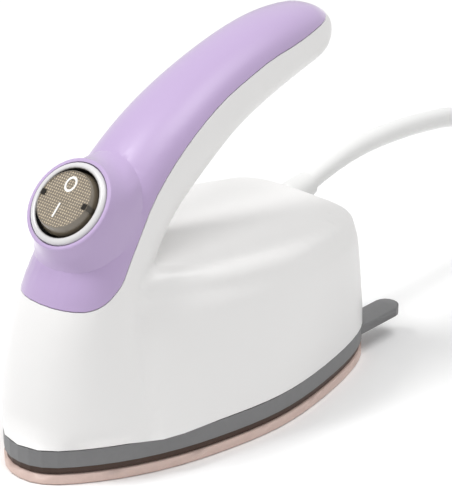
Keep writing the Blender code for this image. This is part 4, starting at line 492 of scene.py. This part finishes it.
# Finishes of the pieces inside: sRGB colour, metallic, roughness, grain and relief in millimetres
INNER_FINISHES = {
    "zinc_plated_steel": ("#C9CACB", 1.0, 0.32, 0.5, 0.004),  # bright, cool grey
    "stainless_element_sheath": ("#B9B5AF", 1.0, 0.36, 0.3, 0.006),  # warm grey, dulled by heat
    "rolled_aluminium": ("#D2D3D4", 1.0, 0.35, 0.4, 0.005),  # pale, with soft reflections
    "nickel_plated_brass": ("#D8D2C4", 1.0, 0.22, 0.4, 0.003),  # bright, faintly yellow
    "stamped_brass": ("#CDA65A", 1.0, 0.3, 0.4, 0.004),  # yellow, satin
    "phenolic_moulding": ("#2B2624", 0.0, 0.45, 0.25, 0.012),  # brown-black, satin
    "black_nylon": ("#242426", 0.0, 0.5, 0.3, 0.01),  # black, low gloss
    "glazed_ceramic": ("#E9E4D8", 0.0, 0.2, 0.6, 0.004),  # cream, glossy
    "glass_fibre_felt": ("#E4DFCF", 0.0, 0.9, 0.4, 0.08),  # cream, matt and woolly
    "neon_glass": ("#D9A789", 0.0, 0.08, 0.8, 0.001),  # orange pink, very glossy
    "brown_silicone_sleeve": ("#6B4630", 0.0, 0.5, 0.4, 0.008),  # the sleeves are rubbery, low gloss
    "blue_silicone_sleeve": ("#3E6FA8", 0.0, 0.5, 0.4, 0.008),
    "green_yellow_sleeve": ("#7FA03A", 0.0, 0.5, 0.4, 0.008),
    "white_silicone_sleeve": ("#E6E4DF", 0.0, 0.55, 0.4, 0.01),
    "red_silicone_sleeve": ("#A8443A", 0.0, 0.5, 0.4, 0.008),
}

# Which finish each inner piece has
INNER_PIECES = {
    "zinc_plated_steel": (
        "clamp_screw_1", "clamp_screw_2", "cover_screw_1", "cover_screw_2", "earth_screw", "earth_tag",
        "fuse_clip", "housing_screw_front", "housing_screw_rear", "plate_screw_1", "plate_screw_2",
        "plate_screw_3", "plate_screw_4", "press_screw_1", "press_screw_2", "plunger_spring", "press_plate",
    ),
    "stainless_element_sheath": ("heating_element", "element_pin_left", "element_pin_right"),
    "rolled_aluminium": ("heat_shield",),
    "stamped_brass": (
        "rocking_contact", "terminal_lamp", "terminal_live_in", "terminal_live_out", "thermostat_tab_front",
        "thermostat_tab_rear",
    ),
    "nickel_plated_brass": ("plug_blade_left", "plug_blade_right", "plug_earth_pin"),
    "phenolic_moulding": ("thermostat",),
    "black_nylon": ("cord_clamp", "switch_plunger", "splice_cap"),
    "glazed_ceramic": ("thermal_fuse",),
    "glass_fibre_felt": ("insulation_pad",),
    "neon_glass": ("neon_lamp",),
    "brown_silicone_sleeve": ("lead_live",),
    "blue_silicone_sleeve": ("lead_neutral", "lead_lamp"),
    "green_yellow_sleeve": ("lead_earth",),
    "white_silicone_sleeve": ("lead_heater", "lead_fuse_front", "lead_fuse_rear"),
    "red_silicone_sleeve": ("lead_switched",),
}


def body_of_node(name):
    """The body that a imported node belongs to."""
    for body, members in frame["record"]["behaviour"]["bodies"].items():
        if name in members:
            return body
    raise RuntimeError(f"{name} is in no body")


def clothe(name, material):
    """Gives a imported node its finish."""
    mesh = frame["nodes"][name].data
    mesh.materials.clear()
    mesh.materials.append(material)


def new_piece(name, bm, materials, body, sharp=SHARP_EDGE, keep_marks=False):
    """Makes a piece at the origin from a bmesh, smooth between its sharp edges, riding on a body.

    With keep_marks, the bmesh's own marks say which edges are sharp.
    """
    for face in bm.faces:
        face.smooth = True
    mesh = bpy.data.meshes.new(name)
    bm.to_mesh(mesh)
    bm.free()
    for material in materials:
        mesh.materials.append(material)
    if not keep_marks:
        mesh.set_sharp_from_angle(angle=sharp)
    piece = bpy.data.objects.new(name, mesh)
    bpy.context.scene.collection.objects.link(piece)
    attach(piece, body)
    return piece


def soften(bm, hold, span, rounds):
    """Splits the edges longer than span, then evens the surface everywhere but at its held edges.

    hold is the angle above which an outer edge is held, and the same for an inner edge.
    """
    outer, inner = hold
    for edge in bm.edges:
        edge.smooth = edge.is_manifold and -inner < edge.calc_face_angle_signed(0) < outer
    for _ in range(SPLIT_PASSES):
        long = [e for e in bm.edges if e.calc_length() > span]
        if not long:
            break
        bmesh.ops.subdivide_edges(bm, edges=long, cuts=1)
        bmesh.ops.triangulate(bm, faces=[f for f in bm.faces if len(f.verts) > 3])
        bmesh.ops.beautify_fill(bm, faces=bm.faces, edges=[e for e in bm.edges if e.smooth], method="ANGLE")
    free = [v for v in bm.verts if all(e.smooth for e in v.link_edges)]
    for _ in range(rounds):
        for push in EVENING_PUSHES:
            bmesh.ops.smooth_vert(
                bm, verts=free, factor=push, use_axis_x=True, use_axis_y=True, use_axis_z=True
            )


def finer_copy(name, source, material, hold=None, span=None, rounds=0):
    """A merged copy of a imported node, smooth between its sharp edges, that stands for the node.

    With hold, the copy's edges are split down to span and its surface is evened in that many rounds.
    """
    bm = bmesh.new()
    bm.from_mesh(frame["nodes"][source].data)
    bmesh.ops.remove_doubles(bm, verts=bm.verts, dist=MERGE_DISTANCE)
    bmesh.ops.dissolve_degenerate(bm, edges=bm.edges, dist=SHORTEST_EDGE)
    if hold:
        soften(bm, hold, span, rounds)
    piece = new_piece(name, bm, [material], body_of_node(source), keep_marks=bool(hold))
    even = piece.modifiers.new("even_normals", "WEIGHTED_NORMAL")
    even.keep_sharp = True
    even.weight = FLAT_FACE_WEIGHT
    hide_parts(source)
    return piece


class PRESS_OT_camera(bpy.types.Operator):
    """Camera in front of the switch side, from above, with a long lens"""

    bl_idname = "press.camera"
    bl_label = "Camera"

    def execute(self, context):
        data = bpy.data.cameras.new("camera")
        data.lens = CAMERA_LENS
        data.sensor_width = CAMERA_SENSOR
        data.clip_start = CAMERA_NEAR
        camera = bpy.data.objects.new("camera", data)
        camera.location = CAMERA_PLACE
        camera.rotation_euler = (CAMERA_PITCH, 0, CAMERA_TURN)
        context.scene.collection.objects.link(camera)
        context.scene.camera = camera
        return {"FINISHED"}


def coil_route():
    """Two layers of loops: in on the lower one, out on the upper one, then a short straight run."""
    outer = COIL_MIDDLE_RADIUS + COIL_LOOPS * COIL_PITCH / 2
    inner = outer - COIL_LOOPS * COIL_PITCH
    half_climb = COIL_CLIMB_TURNS / 2
    centre_x, centre_y = COIL_CENTRE
    points = []
    for i in range(int((2 * COIL_LOOPS + COIL_CLIMB_TURNS) * COIL_POINTS) + 1):
        turn = i / COIL_POINTS
        if turn < COIL_LOOPS + half_climb:
            radius = outer - COIL_PITCH * turn
        else:
            radius = inner - COIL_PITCH * half_climb + COIL_PITCH * (turn - COIL_LOOPS - half_climb)
        rise = min(max((turn - COIL_LOOPS) / COIL_CLIMB_TURNS, 0), 1)
        z = COIL_LEVEL + COIL_PITCH * rise * rise * (3 - 2 * rise)
        angle = math.pi - 2 * math.pi * turn
        points.append((centre_x + radius * math.cos(angle), centre_y + radius * math.sin(angle), z))
    x, y, z = points[-1]
    points.append((x, y - COIL_END_RUN, z))
    return points


class PRESS_OT_lead(bpy.types.Operator):
    """Mains lead on one line, from the strain relief to its stored coil, with its tie and plug"""

    bl_idname = "press.lead"
    bl_label = "Mains lead"

    def execute(self, context):
        sizes, colours = context.scene.press_sizes, context.scene.press_colours
        curve = bpy.data.curves.new("mains_lead", "CURVE")
        curve.dimensions = "3D"
        curve.bevel_depth = sizes.lead_diameter / 2
        curve.bevel_resolution = LEAD_ROUNDNESS
        curve.use_fill_caps = True
        points = [*LEAD_ROUTE, *coil_route()]
        line = curve.splines.new("POLY")
        line.points.add(len(points) - 1)
        for spot, place in zip(line.points, points):
            spot.co = (*place, 1)
        line.use_smooth = True
        curve.materials.append(lead_pvc(colours))
        lead = bpy.data.objects.new("mains_lead", curve)
        context.scene.collection.objects.link(lead)
        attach(lead, "press")
        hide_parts("cord_run", "cord_coil")
        plug = finer_copy("moulded_plug", "plug_body", plug_pvc(colours))
        tie = finer_copy("lead_tie", "coil_tie", tie_nylon(colours))
        return {"FINISHED"}


class PRESS_OT_shells(bpy.types.Operator):
    """Housing and handle cover"""

    bl_idname = "press.shells"
    bl_label = "Shells"

    def execute(self, context):
        colours = context.scene.press_colours
        finer_copy(
            "housing_shell", "body_housing", housing_abs(colours), HOUSING_HOLD, HOUSING_SPAN, HOUSING_ROUNDS
        )
        finer_copy("cover_shell", "handle_cover", cover_abs(colours), COVER_HOLD, COVER_SPAN, COVER_ROUNDS)
        return {"FINISHED"}


class PRESS_OT_switch(bpy.types.Operator):
    """Switch body with its bezel, and painted shade inside the well round the rocker"""

    bl_idname = "press.switch"
    bl_label = "Switch body"

    def execute(self, context):
        piece = finer_copy("switch_bezel", "switch_body", bezel_nylon(context.scene.press_colours))
        piece.data.materials.append(well_painted_shade())
        inward = (Matrix.Translation(SWITCH_FACE) @ Matrix.Rotation(SWITCH_LEAN, 4, "X")).inverted()
        # Painted shade: upright faces inside the well, and faces below its floor, take the black finish
        for face in piece.data.polygons:
            spot = inward @ face.center
            upright = abs((inward.to_3x3() @ face.normal).z) < SHADE_WELL_STEEPNESS
            if math.hypot(spot.x, spot.y) < SHADE_WELL_RADIUS and (upright or spot.z < SHADE_WELL_FLOOR):
                face.material_index = SHADE_WELL_SLOT
        return {"FINISHED"}


class PRESS_OT_rocker(bpy.types.Operator):
    """Smoked rocker with a pyramid tread in painted light and shade, painted shade for two pivot notches and
    the grooves below them, and its smooth side
    """

    bl_idname = "press.rocker"
    bl_label = "Rocker"

    def execute(self, context):
        sizes, colours = context.scene.press_sizes, context.scene.press_colours
        bm = bmesh.new()
        rim = [bm.verts.new((radius * MM, 0, height * MM)) for radius, height in ROCKER_SIDE]
        edges = [bm.edges.new(pair) for pair in zip(rim, rim[1:])]
        bmesh.ops.spin(
            bm, geom=rim + edges, cent=(0, 0, 0), axis=(0, 0, 1), angle=2 * math.pi, steps=ROCKER_TURN_STEPS,
            use_merge=True,
        )
        bmesh.ops.remove_doubles(bm, verts=bm.verts, dist=SHORTEST_EDGE)
        bmesh.ops.holes_fill(bm, edges=[e for e in bm.edges if e.is_boundary], sides=0)
        bmesh.ops.recalc_face_normals(bm, faces=bm.faces)
        self.add_tread(bm, sizes)
        for side in (-1, 1):
            self.add_notch(bm, side)
        bm.transform(ROCKER_FRAME)
        finishes = [
            rocker_polycarbonate(colours), tread_with_painted_light(colours, sizes.tread_pitch),
            notch_shadow(colours), groove_shadow(colours),
        ]
        piece = new_piece("rocker_cap", bm, finishes, "rocker", ROCKER_SHARP_EDGE)
        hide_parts("switch_rocker")
        return {"FINISHED"}

    def add_tread(self, bm, sizes):
        """A closed pad of pyramids, trimmed to a circle under the rim."""
        pad = bmesh.new()
        cells = 2 * math.ceil(TREAD_RADIUS / sizes.tread_pitch)
        bmesh.ops.create_grid(pad, x_segments=cells, y_segments=cells, size=cells * sizes.tread_pitch / 2)
        bmesh.ops.translate(pad, verts=pad.verts, vec=(0, 0, TREAD_BASE))
        bmesh.ops.poke(pad, faces=pad.faces, offset=sizes.tread_rise)
        for i in range(TRIM_PLANES):
            turn = 2 * math.pi * i / TRIM_PLANES
            out = Vector((math.cos(turn), math.sin(turn), 0))
            bmesh.ops.bisect_plane(
                pad, geom=pad.verts[:] + pad.edges[:] + pad.faces[:], dist=CUT_TOLERANCE,
                plane_co=out * TREAD_RADIUS, plane_no=out, clear_outer=True,
            )
        border = [e for e in pad.edges if e.is_boundary]
        wall = bmesh.ops.extrude_edge_only(pad, edges=border)["geom"]
        low = [v for v in wall if isinstance(v, bmesh.types.BMVert)]
        for vert in low:
            vert.co.z = TREAD_FLOOR
        bmesh.ops.contextual_create(pad, geom=[e for e in wall if isinstance(e, bmesh.types.BMEdge)])
        bmesh.ops.recalc_face_normals(pad, faces=pad.faces)
        for face in pad.faces:
            face.material_index = TREAD_SLOT
        mesh = bpy.data.meshes.new("tread")
        pad.to_mesh(mesh)
        pad.free()
        bm.from_mesh(mesh)
        bpy.data.meshes.remove(mesh)

    def add_notch(self, bm, side):
        """A dark block of painted shade through the rim on the hinge line for a notch, and a thin block of
        painted shade from it down the rocker's side for the groove.
        """
        middle = (NOTCH_INNER + NOTCH_OUTER) / 2
        notch = Matrix.Translation((side * middle, 0, NOTCH_TOP - NOTCH_WIDTH / 2))
        # Painted shade: the notch and groove are dark blocks, not cuts
        self.add_block(bm, notch, (NOTCH_OUTER - NOTCH_INNER, NOTCH_WIDTH, NOTCH_WIDTH), NOTCH_SHADE_SLOT)
        top, foot = Vector(GROOVE_TOP), Vector(GROOVE_FOOT)
        lean = math.atan2(foot.x - top.x, top.y - foot.y)
        centre = (top + foot) / 2
        groove = Matrix.Translation((side * centre.x, 0, centre.y)) @ Matrix.Rotation(-side * lean, 4, "Y")
        self.add_block(bm, groove, (GROOVE_THICKNESS, NOTCH_WIDTH, (top - foot).length), GROOVE_SHADE_SLOT)

    def add_block(self, bm, place, size, slot):
        """A block of a size, at a place, in the finish of a slot."""
        verts = bmesh.ops.create_cube(bm, size=1, matrix=place @ Matrix.Diagonal((*size, 1)))["verts"]
        for face in {f for v in verts for f in v.link_faces}:
            face.material_index = slot


class PRESS_OT_marks(bpy.types.Operator):
    """Round off mark and upright on mark, printed on the rocker"""

    bl_idname = "press.marks"
    bl_label = "Marks"

    def execute(self, context):
        sizes, colours = context.scene.press_sizes, context.scene.press_colours
        ink = mark_ink(colours)
        top = TREAD_BASE + sizes.tread_rise + MARK_LIFT
        ring = bmesh.new()
        loops = []
        for inset in (0, sizes.mark_stroke):
            radius = sizes.mark_height / 2 - inset
            made = bmesh.ops.create_circle(ring, segments=RING_STEPS, radius=radius)["verts"]
            loops += list({e for v in made for e in v.link_edges})
        bmesh.ops.bridge_loops(ring, edges=loops)
        bmesh.ops.scale(ring, verts=ring.verts, vec=(RING_WIDTH_SHARE, 1, 1))
        self.raise_mark(ring, OFF_MARK_PLACE, top, "off_mark", ink)
        bar = bmesh.new()
        bmesh.ops.create_grid(bar, x_segments=1, y_segments=1, size=0.5)
        stroke, height = sizes.mark_stroke * BAR_STROKE_SHARE, sizes.mark_height * BAR_HEIGHT_SHARE
        bmesh.ops.scale(bar, verts=bar.verts, vec=(stroke, height, 1))
        self.raise_mark(bar, ON_MARK_PLACE, top, "on_mark", ink)
        return {"FINISHED"}

    def raise_mark(self, bm, place, top, name, ink):
        """Moves a flat mark to its place and gives it a body down into the tread."""
        bmesh.ops.translate(bm, verts=bm.verts, vec=(MARK_SHIFT, place, MARK_BASE))
        up = bmesh.ops.extrude_face_region(bm, geom=bm.faces[:])["geom"]
        for vert in [v for v in up if isinstance(v, bmesh.types.BMVert)]:
            vert.co.z = top
        bmesh.ops.recalc_face_normals(bm, faces=bm.faces)
        bm.transform(ROCKER_FRAME)
        new_piece(name, bm, [ink], "rocker")


class PRESS_OT_sole(bpy.types.Operator):
    """Grey band with its heel prongs, brown gasket and coated heat plate"""

    bl_idname = "press.sole"
    bl_label = "Sole"

    def execute(self, context):
        colours = context.scene.press_colours
        finer_copy("heel_band", "base_band", band_nylon(colours))
        finer_copy("sole_ring", "sole_gasket", gasket_silicone(colours))
        finer_copy("coated_plate", "heat_plate", plate_coating(colours))
        return {"FINISHED"}


class PRESS_OT_relief(bpy.types.Operator):
    """Tapered sleeve where the lead leaves the housing"""

    bl_idname = "press.relief"
    bl_label = "Strain relief"

    def execute(self, context):
        finer_copy("lead_sleeve", "strain_relief", plug_pvc(context.scene.press_colours))
        return {"FINISHED"}


class PRESS_OT_inner(bpy.types.Operator):
    """Finishes of the pieces inside the shells, and of the plug's blades"""

    bl_idname = "press.inner"
    bl_label = "Inner pieces"

    def execute(self, context):
        for finish, names in INNER_PIECES.items():
            code, metallic, roughness, grain, depth = INNER_FINISHES[finish]
            made = surface(
                finish, linear(code), {"Roughness": roughness, "Metallic": metallic}, grain * MM, depth * MM,
                variation=0.05, coarse=6 * MM,
            )
            for name in names:
                clothe(name, made)
        return {"FINISHED"}


class PRESS_OT_stage(bpy.types.Operator):
    """Pale floor and soft studio light"""

    bl_idname = "press.stage"
    bl_label = "Stage"

    def execute(self, context):
        self.add_floor(context)
        self.add_world(context)
        self.add_lamps(context)
        context.scene.view_settings.view_transform = "Standard"
        return {"FINISHED"}

    def add_lamps(self, context):
        """Square softboxes that aim at the press."""
        for name, place, size, power in LAMPS:
            data = bpy.data.lights.new(name, "AREA")
            data.shape = "SQUARE"
            data.size = size
            data.energy = power
            lamp = bpy.data.objects.new(name, data)
            lamp.location = place
            lamp.rotation_euler = (Vector(LAMP_AIM) - Vector(place)).to_track_quat("-Z", "Y").to_euler()
            context.scene.collection.objects.link(lamp)

    def add_floor(self, context):
        """Seamless white paper: matt, it keeps the press's shadow and fades into the white behind."""
        bm = bmesh.new()
        bmesh.ops.create_grid(bm, x_segments=1, y_segments=1, size=context.scene.press_sizes.floor_size / 2)
        bmesh.ops.translate(bm, verts=bm.verts, vec=(0, 0, FLOOR_LEVEL))
        mesh = bpy.data.meshes.new("floor")
        bm.to_mesh(mesh)
        bm.free()
        floor = bpy.data.objects.new("floor", mesh)
        context.scene.collection.objects.link(floor)
        made = bpy.data.materials.new("white_sweep_paper")
        tree = empty_tree(made)
        shader = node(
            tree, "ShaderNodeBsdfPrincipled",
            inputs={"Base Color": linear("#FAFAFA"), "Roughness": 0.9, "Specular IOR Level": 0.0},
        )
        glow = node(tree, "ShaderNodeEmission", inputs={"Color": WHITE, "Strength": FLOOR_GLOW})
        both = node(tree, "ShaderNodeAddShader", links={0: shader.outputs[0], 1: glow.outputs[0]})
        mix = self.mix_for_white_rays(tree, shader, both)
        node(tree, "ShaderNodeOutputMaterial", links={"Surface": mix.outputs[0]})
        mesh.materials.append(made)

    def mix_for_white_rays(self, tree, usual, white):
        """White for rays from the camera, mirrored or passed on, and the usual shader for the rest."""
        rays = node(tree, "ShaderNodeLightPath")
        seen = node(
            tree, "ShaderNodeMath", {"operation": "MAXIMUM"},
            links={0: rays.outputs["Is Camera Ray"], 1: rays.outputs["Is Glossy Ray"]},
        )
        either = node(
            tree, "ShaderNodeMath", {"operation": "MAXIMUM"},
            links={0: seen.outputs[0], 1: rays.outputs["Is Transmission Ray"]},
        )
        return node(
            tree, "ShaderNodeMixShader",
            links={0: either.outputs[0], 1: usual.outputs[0], 2: white.outputs[0]},
        )

    def add_world(self, context):
        """Plain white background, and a dimmer white room that lights the press."""
        world = bpy.data.worlds.new("studio")
        context.scene.world = world
        tree = empty_tree(world)
        room = node(tree, "ShaderNodeBackground", inputs={"Color": WHITE, "Strength": ROOM_STRENGTH})
        white = node(tree, "ShaderNodeBackground", inputs={"Color": WHITE, "Strength": 1.0})
        mix = self.mix_for_white_rays(tree, room, white)
        node(tree, "ShaderNodeOutputWorld", links={"Surface": mix.outputs[0]})


OPERATORS = (
    PRESS_OT_camera, PRESS_OT_lead, PRESS_OT_shells, PRESS_OT_switch, PRESS_OT_rocker, PRESS_OT_marks,
    PRESS_OT_sole, PRESS_OT_relief, PRESS_OT_inner, PRESS_OT_stage,
)


class PRESS_PT_panel(bpy.types.Panel):
    """Lists the press's pieces"""

    bl_idname = "PRESS_PT_panel"
    bl_label = "Mini heat press"
    bl_space_type = "VIEW_3D"
    bl_region_type = "UI"
    bl_category = "Press"

    def draw(self, context):
        for group in (context.scene.press_sizes, context.scene.press_colours):
            for key in group.__annotations__:
                self.layout.prop(group, key)
        for operator in OPERATORS:
            self.layout.operator(operator.bl_idname)


CLASSES = (PressSizes, PressColours, *OPERATORS, PRESS_PT_panel)


def register():
    """Adds the classes, and the sizes and colours to the scene."""
    for cls in CLASSES:
        bpy.utils.register_class(cls)
    bpy.types.Scene.press_sizes = PointerProperty(type=PressSizes)
    bpy.types.Scene.press_colours = PointerProperty(type=PressColours)


def unregister():
    """Takes away what register added."""
    del bpy.types.Scene.press_colours
    del bpy.types.Scene.press_sizes
    for cls in reversed(CLASSES):
        bpy.utils.unregister_class(cls)


def main():
    """Builds every piece and the stage."""
    register()
    bpy.ops.press.camera()
    bpy.ops.press.lead()
    bpy.ops.press.shells()
    bpy.ops.press.switch()
    bpy.ops.press.rocker()
    bpy.ops.press.marks()
    bpy.ops.press.sole()
    bpy.ops.press.relief()
    bpy.ops.press.inner()
    bpy.ops.press.stage()


if __name__ == "__main__":
    main()
